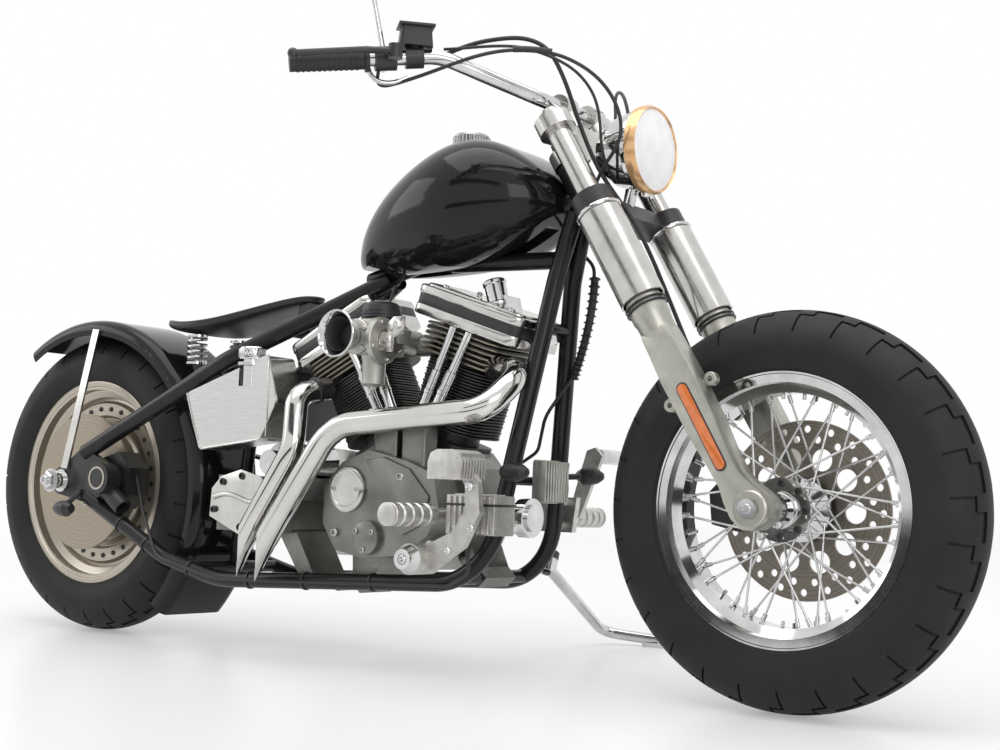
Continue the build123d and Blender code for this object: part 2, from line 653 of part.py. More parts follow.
# lugs the engine stands on: outline, then X and Z of the cross member they clasp
MOUNT_LUGS = (
    ([(1000, 214), (1020, 262), (1050, 196), (1068, 178), (1050, 160), (1030, 178)], 1050, 178),
    ([(752, 240), (830, 192), (795, 150), (775, 132), (757, 150)], 775, 150),
)
with BuildPart() as crankcase:
    side_plate(CASE_OUTLINE, -CASE_HALF_WIDTH, CASE_HALF_WIDTH)
    side_plate(CAM_OUTLINE, CAM_FACE, -CASE_HALF_WIDTH)
    cross_rod(816, 326, CAM_FACE - 8, CAM_FACE, 41.0)
    cross_rod(868, 240, CAM_FACE - 12, CAM_FACE, 30.0)
    for tilt in CYLINDER_LEANS:
        with BuildSketch(cylinder_plane(tilt, BARREL_BOTTOM - 60)) as deck:
            RectangleRounded(128, 118, 20)
        extrude(deck.sketch, amount=60 - SEAT_GAP)
        cylinder_slab(tilt, BARREL_BOTTOM - SEAT_GAP, 120, 170, 150, 20, mode=Mode.SUBTRACT)
    for x, low, high in LIFTER_BLOCKS:
        with BuildSketch(Plane(origin=(x, PUSHROD_FOOT_Y, low))) as block:
            RectangleRounded(56, 42, 8)
        extrude(block.sketch, amount=high - low)
    for lug, cross_x, cross_z in MOUNT_LUGS:
        side_plate(lug, -MOUNT_HALF, MOUNT_HALF)
        cross_rod(cross_x, cross_z, -MOUNT_HALF - 1, MOUNT_HALF + 1, 12 + SEAT_GAP, Mode.SUBTRACT)
keep(crankcase, "crankcase")

# pushrod tubes: foot X, Z and head X, Z
PUSHRODS = (
    (936.0, 439.0, 1000.0, 626.0),
    (962.0, 439.0, 1038.0, 618.0),
    (868.0, 439.0, 742.0, 612.0),
    (896.0, 439.0, 786.0, 634.0),
)
PUSHROD_RADIUS = 8.0
with BuildPart() as cylinders:
    for tilt in CYLINDER_LEANS:
        with BuildSketch(cylinder_plane(tilt, BARREL_BOTTOM)) as bore:
            Circle(BARREL_RADIUS)
        extrude(bore.sketch, amount=ROCKER_BOTTOM - BARREL_BOTTOM - SEAT_GAP)
        cylinder_slab(tilt, BARREL_BOTTOM, 8, 124, 116, 22)
        fins = int((HEAD_BOTTOM - FIN_BOTTOM) / BARREL_FIN_PITCH)
        for fin in range(fins):
            cylinder_slab(tilt, FIN_BOTTOM + fin * BARREL_FIN_PITCH, FIN_THICK, *BARREL_FIN)
        head_fins = int((ROCKER_BOTTOM - HEAD_BOTTOM) / HEAD_FIN_PITCH)
        for fin in range(head_fins):
            cylinder_slab(tilt, HEAD_BOTTOM + fin * HEAD_FIN_PITCH, FIN_THICK, *HEAD_FIN)
        cylinder_slab(tilt, HEAD_BOTTOM, ROCKER_BOTTOM - HEAD_BOTTOM - SEAT_GAP, 130, 110, 24)
    for foot_x, foot_z, head_x, head_z in PUSHRODS:
        foot = (foot_x, PUSHROD_FOOT_Y, foot_z)
        head = (head_x, PUSHROD_HEAD_Y, head_z)
        rod(foot, head, PUSHROD_RADIUS + SEAT_GAP, Mode.SUBTRACT)
keep(cylinders, "cylinders")

ROCKER_BOX = (246.0, 152.0, 22.0)
with BuildPart() as rocker_boxes:
    for tilt in CYLINDER_LEANS:
        length, width, corner = ROCKER_BOX
        if tilt < 0:
            length -= 26
        cylinder_slab(tilt, ROCKER_BOTTOM, 26, length, width, corner)
        cylinder_slab(tilt, ROCKER_BOTTOM + 26, 12, length - 6, width - 6, corner - 3)
        cylinder_slab(tilt, ROCKER_BOTTOM + 38, ROCKER_TOP - ROCKER_BOTTOM - 38, length, width, corner)
keep(rocker_boxes, "rocker_boxes")

with BuildPart() as pushrod_tubes:
    for foot_x, foot_z, head_x, head_z in PUSHRODS:
        foot = Vector(foot_x, PUSHROD_FOOT_Y, foot_z)
        head = Vector(head_x, PUSHROD_HEAD_Y, head_z)
        middle = foot + (head - foot) * 0.5
        rod(tuple(foot), tuple(middle), 10.0)
        rod(tuple(middle - (head - foot) * 0.02), tuple(head), PUSHROD_RADIUS)
    add(crankcase.part, mode=Mode.SUBTRACT)
    for tilt in CYLINDER_LEANS:
        cylinder_slab(tilt, ROCKER_BOTTOM, 120, 400, 300, 10, mode=Mode.SUBTRACT)
keep(pushrod_tubes, "pushrod_tubes")

MOTOR_MOUNT = [(1118, 588), (1136, 634), (1164, 634), (1164, 602)]
CANISTER_FOOT = (1066.0, -30.0, 655.0)
CANISTER_TOP = (1048.0, -30.0, 712.0)
with BuildPart() as engine_mounts:
    side_plate(MOTOR_MOUNT, -20, 20)
    cross_rod(1170, 622, -21, 21, 9 + SEAT_GAP, Mode.SUBTRACT)
    rod(CANISTER_FOOT, CANISTER_TOP, 16.0)
    rod((1054, -30, 693), (1051, -30, 703), 20.0)
    side_plate([(1072, 655), (1076, 684), (1096, 680), (1104, 650)], -38, -14)
    add(rocker_boxes.part, mode=Mode.SUBTRACT)
keep(engine_mounts, "engine_mounts")

# intake: manifold, carburettor body, float bowl, slide cap and horn
CARB = (856.0, 604.0)
HORN_CENTRE = (829.0, 604.0)
HORN_FLANGE_RADIUS = 31.0
HORN_MOUTH_Y = -206.0
HORN_MOUTH_RADIUS = 42.0
with BuildPart() as carburettor:
    rod((800, -8, 600), (918, -8, 600), 21.0)
    cross_rod(*CARB, -78, -8, 23.0)
    add(cylinders.part, mode=Mode.SUBTRACT)
    with BuildSketch(Plane(origin=(CARB[0], -112, 568))) as body:
        RectangleRounded(62, 70, 12)
    extrude(body.sketch, amount=74)
    rod((CARB[0], -116, 640), (CARB[0], -116, 668), 37.0)
    rod((CARB[0], -128, 514), (CARB[0], -128, 570), 21.0)
    trumpet = [
        (-144, 0.0), (-144, HORN_FLANGE_RADIUS), (-150, HORN_FLANGE_RADIUS), (-150, 24.0),
        (-174, 27.0), (-196, 35.0), (HORN_MOUTH_Y, HORN_MOUTH_RADIUS),
        (HORN_MOUTH_Y, HORN_MOUTH_RADIUS - 3), (-196, 31.0), (-174, 24.0), (-160, 21.0), (-160, 0.0),
    ]
    trumpet_axis = Axis((HORN_CENTRE[0], 0, HORN_CENTRE[1]), (0, 1, 0))
    place = Location((HORN_CENTRE[0], 0, HORN_CENTRE[1]))
    revolve(ring_profile(trumpet).moved(place), axis=trumpet_axis)
    add(pushrod_tubes.part, mode=Mode.SUBTRACT)
keep(carburettor, "carburettor")

# exhaust pipes: route, bend radii and the X where the tip is cut
PIPE_RADIUS = 22.2
PIPE_WALL = 1.8
PIPES = (
    (((1070, -50, 552), (1168, -104, 536), (1140, -170, 468), (803, -175, 440), (600, -188, 116)),
     (48.0, 52.0, 105.0), 638.0),
    (((700, -76.5, 515), (690, -150, 498), (702, -168, 396), (548, -184, 130)),
     (36.0, 80.0), 587.0),
)
with BuildPart() as exhaust_pipes:
    for route, bends, tip in PIPES:
        tube(route, bends, PIPE_RADIUS)
        last = Vector(*route[-1])
        inward = (Vector(*route[-2]) - last).normalized()
        rod(tuple(last), tuple(last + inward * 200), PIPE_RADIUS - PIPE_WALL, Mode.SUBTRACT)
        low, high = 60.0, route[-2][2] - 120
        side_plate([(400, low), (400, high), (tip, high), (tip, low)], -240, -130, Mode.SUBTRACT)
    add(cylinders.part, mode=Mode.SUBTRACT)
keep(exhaust_pipes, "exhaust_pipes")

# ================================================================ gearbox and drive
GEARBOX_HALF = 62.0
GEARBOX_FACE = -98.0
GEARBOX_FOOT = [(560, 237), (606, 240), (656, 160), (650, 134), (630, 134), (616, 160)]
PRIMARY_INNER = 106.0
PRIMARY_OUTER = 156.0
with BuildPart() as transmission:
    side_plate([(440, 236), (440, 344), (600, 344), (612, 300), (600, 236)], GEARBOX_FACE, GEARBOX_HALF)
    side_plate(
        [(460, 342), (570, 344), (598, 322), (590, 258), (518, 228), (433, 262), (436, 318)],
        GEARBOX_FACE - 13, GEARBOX_FACE,
    )
    cross_rod(*GEARBOX_PULLEY, GEARBOX_HALF, PULLEY_INNER + BELT_WIDTH, GEARBOX_PULLEY_RADIUS)
    cross_rod(*GEARBOX_PULLEY, GEARBOX_HALF, PRIMARY_INNER - SEAT_GAP, 16.0)
    side_plate(GEARBOX_FOOT, -MOUNT_HALF, MOUNT_HALF)
    cross_rod(640, 148, -MOUNT_HALF - 1, MOUNT_HALF + 1, 12 + SEAT_GAP, Mode.SUBTRACT)
keep(transmission, "transmission")

STARTER = (583.0, 377.3)
with BuildPart() as starter_motor:
    cross_rod(*STARTER, -76, 60, 33.0)
    cross_rod(STARTER[0], STARTER[1] - 6, -108, -75, 24.0)
keep(starter_motor, "starter_motor")

PRIMARY_FRONT = (888.0, 285.0, 92.0)
PRIMARY_REAR = (545.0, 300.0, 108.0)


def loop_outline(front, rear, grow=0.0):
    """Side view of a band round two circles given as X, Z, radius."""
    with BuildSketch(Plane.XZ) as outline:
        for x, z, radius in (front, rear):
            with Locations((x, z)):
                Circle(radius + grow)
        make_hull()
    return outline.sketch


with BuildPart() as primary_cover:
    cover = loop_outline(PRIMARY_FRONT, PRIMARY_REAR).moved(Location((0, PRIMARY_INNER, 0)))
    extrude(cover, amount=-(PRIMARY_OUTER - PRIMARY_INNER))
    fillet(primary_cover.faces().sort_by(Axis.Y)[-1].edges(), 16)
    cross_rod(PRIMARY_FRONT[0], PRIMARY_FRONT[1], CASE_HALF_WIDTH + SEAT_GAP, PRIMARY_INNER + 1, 70.0)
    cross_rod(PRIMARY_REAR[0], PRIMARY_REAR[1], PRIMARY_OUTER - 1, PRIMARY_OUTER + 8, 62.0)
keep(primary_cover, "primary_cover")

BELT_FIT = 0.5
with BuildPart() as drive_belt:
    front_pulley = (*GEARBOX_PULLEY, GEARBOX_PULLEY_RADIUS)
    rear_pulley = (0.0, ABOVE, PULLEY_RADIUS)
    outer = loop_outline(front_pulley, rear_pulley, BELT_THICK).moved(Location((0, PULLEY_INNER, 0)))
    inner = loop_outline(front_pulley, rear_pulley, BELT_FIT).moved(Location((0, PULLEY_INNER, 0)))
    extrude(outer, amount=-BELT_WIDTH)
    extrude(inner, amount=-BELT_WIDTH, mode=Mode.SUBTRACT)
keep(drive_belt, "drive_belt")

# ================================================================ tanks, battery, seat
OIL_TANK = ((389, 503), (434, 391), (599, 412), (640, 488), (612, 577))
OIL_OUTER = -150.0
OIL_INNER = -82.0
OIL_NECK = (552.0, -134.0)
OIL_NECK_RADIUS = 17.0
with BuildPart() as oil_tank:
    side_plate(OIL_TANK, OIL_OUTER, OIL_INNER)
    fillet(oil_tank.edges().filter_by(Axis.Y), 12)
    rod((*OIL_NECK, 516), (*OIL_NECK, 620), OIL_NECK_RADIUS + 7, Mode.SUBTRACT)
keep(oil_tank, "oil_tank")

BATTERY = (470.0, 600.0, 418.0, 552.0)
with BuildPart() as battery_box:
    rear, ahead, low, high = BATTERY
    box = [(rear, low), (rear, high), (ahead, high), (ahead, low)]
    side_plate(box, OIL_INNER + SEAT_GAP, 78)
keep(battery_box, "battery_box")

# tank sections: X, half width, bottom, top
TANK_SECTIONS = (
    (716.0, 16.0, 752.0, 778.0),
    (760.0, 62.0, 740.0, 842.0),
    (830.0, 104.0, 734.0, 903.0),
    (920.0, 136.0, 737.0, 950.0),
    (1010.0, 148.0, 747.0, 970.0),
    (1090.0, 134.0, 771.0, 948.0),
    (1150.0, 94.0, 803.0, 907.0),
    (1184.0, 42.0, 829.0, 862.0),
)
with BuildPart() as fuel_tank:
    for x, half, low, high in TANK_SECTIONS:
        with BuildSketch(Plane(origin=(x, 0, (low + high) / 2), x_dir=(0, 1, 0), z_dir=(1, 0, 0))):
            RectangleRounded(2 * half, high - low, 0.47 * min(2 * half, high - low))
    loft()
    rod(BACKBONE_REAR, BACKBONE_FRONT, BACKBONE_RADIUS + SEAT_GAP, Mode.SUBTRACT)
    slot = BACKBONE_RADIUS + SEAT_GAP
    side_plate([(700, 700), (700, 727), (1190, 812), (1190, 700)], -slot, slot, Mode.SUBTRACT)
    side_plate([(700, 700), (700, 751), (812, 753), (812, 700)], -50, 50, Mode.SUBTRACT)
keep(fuel_tank, "fuel_tank")

with BuildPart() as filler_caps:
    rod((962, 0, 958), (962, 0, 984), 32.0)
    rod((962, 0, 983), (962, 0, 990), 24.0)
    rod((*OIL_NECK, 516 + SEAT_GAP), (*OIL_NECK, 572), OIL_NECK_RADIUS)
    rod((*OIL_NECK, 570), (*OIL_NECK, 586), OIL_NECK_RADIUS + 3)
    add(fuel_tank.part, mode=Mode.SUBTRACT)
keep(filler_caps, "filler_caps")

# seat sections: X, half width, middle height, thickness
SEAT_SECTIONS = (
    (192.0, 34.0, 658.0, 12.0),
    (228.0, 76.0, 653.0, 22.0),
    (300.0, 98.0, 645.0, 30.0),
    (380.0, 90.0, 652.0, 30.0),
    (440.0, 68.0, 668.0, 28.0),
    (516.0, 46.0, 687.0, 24.0),
    (570.0, 34.0, 697.0, 20.0),
    (598.0, 22.0, 698.0, 12.0),
)
with BuildPart() as seat:
    for x, half, middle, thick in SEAT_SECTIONS:
        with BuildSketch(Plane(origin=(x, 0, middle), x_dir=(0, 1, 0), z_dir=(1, 0, 0))):
            RectangleRounded(2 * half, thick, 0.47 * thick)
    loft()
keep(seat, "seat")

NOSE_BRACKET = [(560, 628), (562, 690), (590, 694), (604, 640), (598, 622), (585, 616)]
with BuildPart() as seat_bracket:
    side_plate(NOSE_BRACKET, -22, 22)
    side_plate([(552, 646), (556, 674), (600, 678), (598, 650)], -14, 14, Mode.SUBTRACT)
    cross_rod(585, 628, -30, 30, 10 + SEAT_GAP, Mode.SUBTRACT)
    add(seat.part.moved(Location((0, 0, -SEAT_GAP))), mode=Mode.SUBTRACT)
keep(seat_bracket, "seat_bracket")

SPRING_X = 318.0
SPRING_Y = 60.0
SPRING_LOW = 569.0
SPRING_HIGH = 636.0
SPRING_RADIUS = 18.0
WIRE_RADIUS = 3.2
with BuildPart() as seat_springs:
    for side in (1, -1):
        height = SPRING_HIGH - SPRING_LOW - 15
        with BuildLine(mode=Mode.PRIVATE) as coil:
            foot = (SPRING_X, side * SPRING_Y, SPRING_LOW + 5)
            Helix(pitch=height / 4.5, height=height, radius=SPRING_RADIUS, center=foot)
        with BuildSketch(Plane(origin=coil.line @ 0, z_dir=coil.line % 0)) as wire:
            Circle(WIRE_RADIUS)
        sweep(sections=wire.sketch, path=coil.line, is_frenet=True)
        rod((SPRING_X, side * SPRING_Y, SPRING_LOW), (SPRING_X, side * SPRING_Y, SPRING_LOW + 5), 22.0)
        rod((SPRING_X, side * SPRING_Y, SPRING_HIGH - 11), (SPRING_X, side * SPRING_Y, SPRING_HIGH), 20.0)
    add(seat.part.moved(Location((0, 0, -SEAT_GAP))), mode=Mode.SUBTRACT)
keep(seat_springs, "seat_springs")

# ================================================================ rear fender
FENDER_HALF = 92.0
FENDER_SKIN = 2.5
FENDER_DEPTH = 34.0
FENDER_CENTRE = (18.0, 306.0)
FENDER_RADIUS = 363.0
FENDER_ANGLES = (-44.0, 123.6)         # low front end and tail


def fender_point(angle, inset):
    """Point inside the fender's outer surface at an angle from the X axis."""
    turn = math.radians(angle)
    reach = FENDER_RADIUS - inset
    return (FENDER_CENTRE[0] + reach * math.cos(turn), FENDER_CENTRE[1] + reach * math.sin(turn))


def fender_band(near, far, overrun):
    """Side view of the fender between two depths under its outer surface."""
    low = FENDER_ANGLES[0] - overrun
    tail = FENDER_ANGLES[1] + overrun
    with BuildSketch(Plane.XZ) as band:
        with BuildLine():
            for depth in (near, far):
                ThreePointArc(
                    fender_point(low, depth),
                    fender_point((low + tail) / 2, depth),
                    fender_point(tail, depth),
                )
            Line(fender_point(low, near), fender_point(low, far))
            Line(fender_point(tail, near), fender_point(tail, far))
        make_face()
    return band.sketch


def shoulder_edges(builder, least_radius):
    """The long outer arcs of a fender shape."""
    arcs = builder.edges().filter_by(GeomType.CIRCLE)
    return arcs.filter_by(lambda edge: edge.radius > least_radius)


FENDER_SHOULDER = 24.0
FENDER_OUTER_ARCS = 355.0
with BuildPart() as fender_inside:
    inner_band = fender_band(FENDER_SKIN, FENDER_DEPTH + 40, 3)
    extrude(inner_band, amount=FENDER_HALF - FENDER_SKIN, both=True)
    fillet(
        shoulder_edges(fender_inside, FENDER_OUTER_ARCS - FENDER_SKIN),
        FENDER_SHOULDER - FENDER_SKIN,
    )

with BuildPart() as rear_fender:
    extrude(fender_band(0, FENDER_DEPTH, 0), amount=FENDER_HALF, both=True)
    fillet(shoulder_edges(rear_fender, FENDER_OUTER_ARCS), FENDER_SHOULDER)
    add(fender_inside.part, mode=Mode.SUBTRACT)
    BELT_NOTCH = [(232, 190), (232, 480), (400, 480), (400, 190)]
    side_plate(BELT_NOTCH, PULLEY_INNER - 8, FENDER_HALF + 5, Mode.SUBTRACT)
keep(rear_fender, "rear_fender")


def flat_bar(start, end, width, thick, mode=Mode.ADD):
    """Flat bar between two points, its width fore and aft."""
    run = Vector(*end) - Vector(*start)
    across = run.cross(Vector(1, 0, 0)).normalized()
    along_width = across.cross(run).normalized()
    with BuildSketch(Plane(origin=start, x_dir=along_width, z_dir=run)) as section:
        Rectangle(width, thick)
    extrude(section.sketch, amount=run.length, mode=mode)


with BuildPart() as fender_stays:
    for side in (1, -1):
        top = (42, side * (FENDER_HALF + SEAT_GAP + 2.8), 646)
        foot = (14, side * (PLATE_Y + PLATE_THICK / 2 + SEAT_GAP + 5.2), 346)
        flat_bar(foot, top, 20, 5)
keep(fender_stays, "fender_stays")

# ================================================================ rear brake
REAR_DISC_FACE = -REAR_HUB_RIGHT - 2
with BuildPart() as rear_disc:
    outer_y = REAR_DISC_FACE
    cross_rod(0, ABOVE, outer_y - REAR_DISC_THICK, outer_y, DISC_RADIUS)
    cross_rod(0, ABOVE, outer_y - 1, -REAR_HUB_RIGHT - SEAT_GAP, 33.0)
    cross_rod(0, ABOVE, outer_y - 10, 0, REAR_AXLE_RADIUS + RUNNING_FIT, Mode.SUBTRACT)
keep(rear_disc, "rear_disc")

PAD_GAP = 2.0
with BuildPart() as rear_caliper:
    block = [(104, 276), (104, 372), (150, 384), (186, 352), (186, 296), (150, 266)]
    side_plate(block, -108, -54)
    disc_from = REAR_DISC_FACE - REAR_DISC_THICK - PAD_GAP
    cross_rod(0, ABOVE, disc_from, REAR_DISC_FACE + PAD_GAP, DISC_RADIUS + 6, Mode.SUBTRACT)
    cross_rod(PIVOT_CAP[0], PIVOT_CAP[1], -(PLATE_Y - PLATE_THICK / 2 - SEAT_GAP), -106, 22.0)
keep(rear_caliper, "rear_caliper")

# ================================================================ forward controls
CONTROL_PLATE = [(1052, 262), (1052, 326), (1150, 326), (1142, 262)]
CONTROL_BOLTS = ((1126.0, 318.0), (1118.0, 274.0))
with BuildPart() as brake_controls:
    side_plate(CONTROL_PLATE, -126, -112)
    for x, z in CONTROL_BOLTS:
        cross_rod(x, z, -113, -84, 9.0)
    add(frame_rails.part, mode=Mode.SUBTRACT)
    side_plate([(1092, 258), (1092, 324), (1196, 324), (1196, 258)], -200, -150)
    cross_rod(1110, 300, -151, -125, 18.0)
    cross_rod(1064, 288, -206, -125, 11.0)
    cross_rod(1064, 288, -326, -205, 17.0)
    arm = [
        (1040, 206), (1060, 190), (1092, 198), (1152, 238), (1182, 296), (1176, 346),
        (1150, 380), (1130, 372), (1150, 338), (1152, 300), (1126, 262), (1078, 240), (1046, 234),
    ]
    side_plate(arm, -228, -216)
    cross_rod(1062, 214, -258, -200, 26.0)
    side_plate([(1100, 350), (1106, 392), (1166, 392), (1160, 350)], -262, -196)
    cross_rod(1070, 236, -216, -124, 9.0)
    rod((1070, -124, 236), (1070, -119, 270), 9.0)
keep(brake_controls, "brake_controls")

with BuildPart() as shift_controls:
    side_plate(CONTROL_PLATE, 112, 126)
    for x, z in CONTROL_BOLTS:
        cross_rod(x, z, 84, 113, 9.0)
    add(frame_rails.part, mode=Mode.SUBTRACT)
    cross_rod(1064, 288, 125, 206, 11.0)
    cross_rod(1064, 288, 205, 326, 17.0)
    cross_rod(1112, 300, 125, 172, 12.0)
    side_plate([(1100, 288), (1126, 288), (1172, 404), (1156, 420), (1138, 414)], 160, 170)
    cross_rod(1154, 404, 169, 250, 10.0)
keep(shift_controls, "shift_controls")

with BuildPart() as regulator:
    with BuildSketch(Plane(origin=(1153, 0, 352), x_dir=(0, 1, 0), z_dir=(1, 0, 0))):
        RectangleRounded(74, 76, 6)
    extrude(amount=8)
    for fin in range(9):
        with BuildSketch(Plane(origin=(1160, -34 + fin * 8.5, 352), x_dir=(0, 1, 0), z_dir=(1, 0, 0))):
            Rectangle(3, 70)
        extrude(amount=20)
keep(regulator, "regulator")

HORN = (1152.0, -62.0, 288.0)
with BuildPart() as horn:
    rod(HORN, (HORN[0] + 22, HORN[1], HORN[2]), 34.0)
    rod((HORN[0] + 21, HORN[1], HORN[2]), (HORN[0] + 27, HORN[1], HORN[2]), 24.0)
    rod((1124, -82, 300), (HORN[0] + 1, HORN[1], HORN[2] + 6), 7.0)
    add(frame_rails.part, mode=Mode.SUBTRACT)
    add(frame_front.part, mode=Mode.SUBTRACT)
keep(horn, "horn")

# turn signals: lamp centre, the way it points, point on the frame that carries it
SIGNALS = (
    ((1172.0, -116.0, 366.0), 1, (1130.0, -80.0, 362.0)),
    ((1172.0, 124.0, 366.0), 1, (1130.0, 80.0, 362.0)),
    ((40.0, -156.0, 262.0), -1, (66.0, -133.0, 300.0)),
    ((40.0, 156.0, 262.0), -1, (66.0, 133.0, 300.0)),
)
SIGNAL_RADIUS = 17.0
SIGNAL_LENGTH = 56.0
with BuildPart() as turn_signals:
    for centre, way, root in SIGNALS:
        half = SIGNAL_LENGTH / 2
        nose = (centre[0] + way * half, centre[1], centre[2])
        back = (centre[0] - way * half, centre[1], centre[2])
        bullet_plane = Plane(origin=centre, x_dir=(way, 0, 0), z_dir=(0, -1, 0))
        with BuildSketch(bullet_plane) as bullet:
            with BuildLine():
                Polyline(
                    (half, 0), (half * 0.88, 7), (half * 0.5, 13.4), (0, 16.4),
                    (-half * 0.5, SIGNAL_RADIUS), (-half, 9), (-half, 0), close=True,
                )
            make_face()
        revolve(bullet.sketch, axis=Axis(centre, (1, 0, 0)))
        rod(root, centre, 5.5)
    add(frame_rails.part, mode=Mode.SUBTRACT)
    add(frame_front.part, mode=Mode.SUBTRACT)
    add(axle_plates.part, mode=Mode.SUBTRACT)
keep(turn_signals, "turn_signals")

# ================================================================ side stand
STAND_PIVOT = Vector(1060, 160, 196)
STAND_OUT = Vector(-30, 255, -130).normalized()
STAND_BACK = Vector(-1.0, 0.03, -0.12).normalized()
STAND_AXIS = STAND_OUT.cross(STAND_BACK).normalized()
STAND_TURN = math.degrees(math.acos(STAND_OUT.dot(STAND_BACK)))
EYE_RADIUS = 17.0
EYE_HEIGHT = 26.0
PIN_RADIUS = 8.0
LEG_RADIUS = 10.5
FOOT_THICK = 9.0

with BuildPart() as stand_bracket:
    cap_from = STAND_PIVOT + STAND_AXIS * (EYE_HEIGHT / 2 + SEAT_GAP)
    rod(tuple(cap_from), tuple(cap_from + STAND_AXIS * 15), EYE_RADIUS)
    pin_foot = STAND_PIVOT - STAND_AXIS * (EYE_HEIGHT / 2 + 3)
    rod(tuple(pin_foot), tuple(cap_from + STAND_AXIS * 2), PIN_RADIUS)
    rod(tuple(cap_from + STAND_AXIS * 14), (1104, 97, 246), 8.0)
    add(frame_rails.part, mode=Mode.SUBTRACT)
keep(stand_bracket, "stand_bracket")

FOOT_BEND = (1034.0, 402.0)    # knee and toe of the leg on the floor, X and Y
FOOT_END = (1150.0, 428.0)
with BuildPart() as side_stand:
    eye_half = STAND_AXIS * EYE_HEIGHT / 2
    rod(tuple(STAND_PIVOT - eye_half), tuple(STAND_PIVOT + eye_half), EYE_RADIUS)
    leg_start = STAND_PIVOT - STAND_AXIS * 2
    bend_floor = FLOOR.origin + FLOOR.x_dir * FOOT_BEND[0] + FLOOR.y_dir * FOOT_BEND[1]
    end_floor = FLOOR.origin + FLOOR.x_dir * FOOT_END[0] + FLOOR.y_dir * FOOT_END[1]
    heel = bend_floor + FLOOR.z_dir * 24
    toe = end_floor + FLOOR.z_dir * (LEG_RADIUS + 2)
    tube([tuple(leg_start), tuple(heel), tuple(toe)], [34.0], LEG_RADIUS)
    with BuildSketch(Plane(origin=end_floor, x_dir=FLOOR.x_dir, z_dir=FLOOR.z_dir)) as pad:
        SlotOverall(74, 30)
    extrude(pad.sketch, amount=FOOT_THICK)
    pin_half = STAND_AXIS * 40
    pin_room = PIN_RADIUS + RUNNING_FIT
    rod(tuple(STAND_PIVOT - pin_half), tuple(STAND_PIVOT + pin_half), pin_room, Mode.SUBTRACT)
keep(side_stand, "side_stand")

# ================================================================ handlebar and lamp
BAR_END = (915.0, -440.0, 1031.0)
BAR_BEND = (1085.0, -260.0, 1062.0)
bar_centre = fork_point(BAR_AHEAD, 0, BAR_UP)
bar_foot = (bar_centre[0], -96.0, bar_centre[2])
with BuildPart() as handlebar:
    tube(
        [BAR_END, BAR_BEND, bar_foot, mirrored(bar_foot), mirrored(BAR_BEND), mirrored(BAR_END)],
        [110.0, 90.0, 90.0, 110.0], BAR_RADIUS,
    )
keep(handlebar, "handlebar")

GRIP_LENGTH = 128.0
GRIP_RADIUS = 17.0


def bar_run(side):
    """Outer end of the bar, the way in along it and the way ahead across it."""
    end = Vector(BAR_END[0], -side * BAR_END[1], BAR_END[2])
    bend = Vector(BAR_BEND[0], -side * BAR_BEND[1], BAR_BEND[2])
    inward = (bend - end).normalized()
    ahead = inward.cross(Vector(0, 0, 1)).normalized() * (-side)
    return end, inward, ahead


with BuildPart() as grips:
    for side in (1, -1):
        end, inward, ahead = bar_run(side)
        rod(tuple(end - inward * 5), tuple(end + inward * GRIP_LENGTH), GRIP_RADIUS)
        rod(tuple(end + inward * (GRIP_LENGTH - 7)), tuple(end + inward * GRIP_LENGTH), GRIP_RADIUS + 5)
        rod(tuple(end - inward * SEAT_GAP), tuple(end + inward * 200), BAR_RADIUS + SEAT_GAP, Mode.SUBTRACT)
keep(grips, "grips")

PERCH_FROM = 138.0
PERCH_TO = 174.0
with BuildPart() as hand_controls:
    for side in (1, -1):
        end, inward, ahead = bar_run(side)
        rod(tuple(end + inward * PERCH_FROM), tuple(end + inward * PERCH_TO), BAR_RADIUS + 8)
        pivot = end + inward * 168 + ahead * 44
        rod(tuple(end + inward * 160 + ahead * 8), tuple(pivot), 10.0)
        rod(tuple(pivot - Vector(0, 0, 12)), tuple(pivot + Vector(0, 0, 12)), 12.0)
        reach = end + inward * 118 + ahead * 60
        tip = end - inward * 2 + ahead * 54
        tube([tuple(pivot), tuple(reach), tuple(tip)], [60.0], 6.0)
        with Locations(tuple(tip)):
            Sphere(9)
        rod(tuple(end + inward * 100), tuple(end + inward * 230), BAR_RADIUS + SEAT_GAP, Mode.SUBTRACT)
keep(hand_controls, "hand_controls")

with BuildPart() as brake_reservoir:
    end, inward, ahead = bar_run(-1)
    base = end + inward * 206 + Vector(0, 0, BAR_RADIUS + 4)
    level = Vector(inward.X, inward.Y, 0).normalized()
    with BuildSketch(Plane(origin=base, x_dir=tuple(level), z_dir=(0, 0, 1))):
        RectangleRounded(58, 44, 8)
    extrude(amount=34, taper=6)
    rod(tuple(end + inward * 190), tuple(end + inward * 220), BAR_RADIUS + 6)
    rod(tuple(end + inward * 206), tuple(base + Vector(0, 0, 2)), 12.0)
    rod(tuple(end + inward * 150), tuple(end + inward * 235), BAR_RADIUS + SEAT_GAP, Mode.SUBTRACT)
keep(brake_reservoir, "brake_reservoir")

with BuildPart() as mirror:
    end, inward, ahead = bar_run(-1)
    foot = end + inward * 150
    knee = foot + Vector(-14, -14, 110)
    head_middle = foot + Vector(-24, -72, 168)
    tube([tuple(foot + Vector(0, 0, BAR_RADIUS + 7)), tuple(knee), tuple(head_middle)], [34.0], 5.0)
    rod(tuple(head_middle + Vector(-7, 0, 0)), tuple(head_middle + Vector(7, 0, 0)), 48.0)
    rod(tuple(head_middle + Vector(6, 0, 0)), tuple(head_middle + Vector(13, 0, 0)), 38.0)
    add(hand_controls.part, mode=Mode.SUBTRACT)
keep(mirror, "mirror")

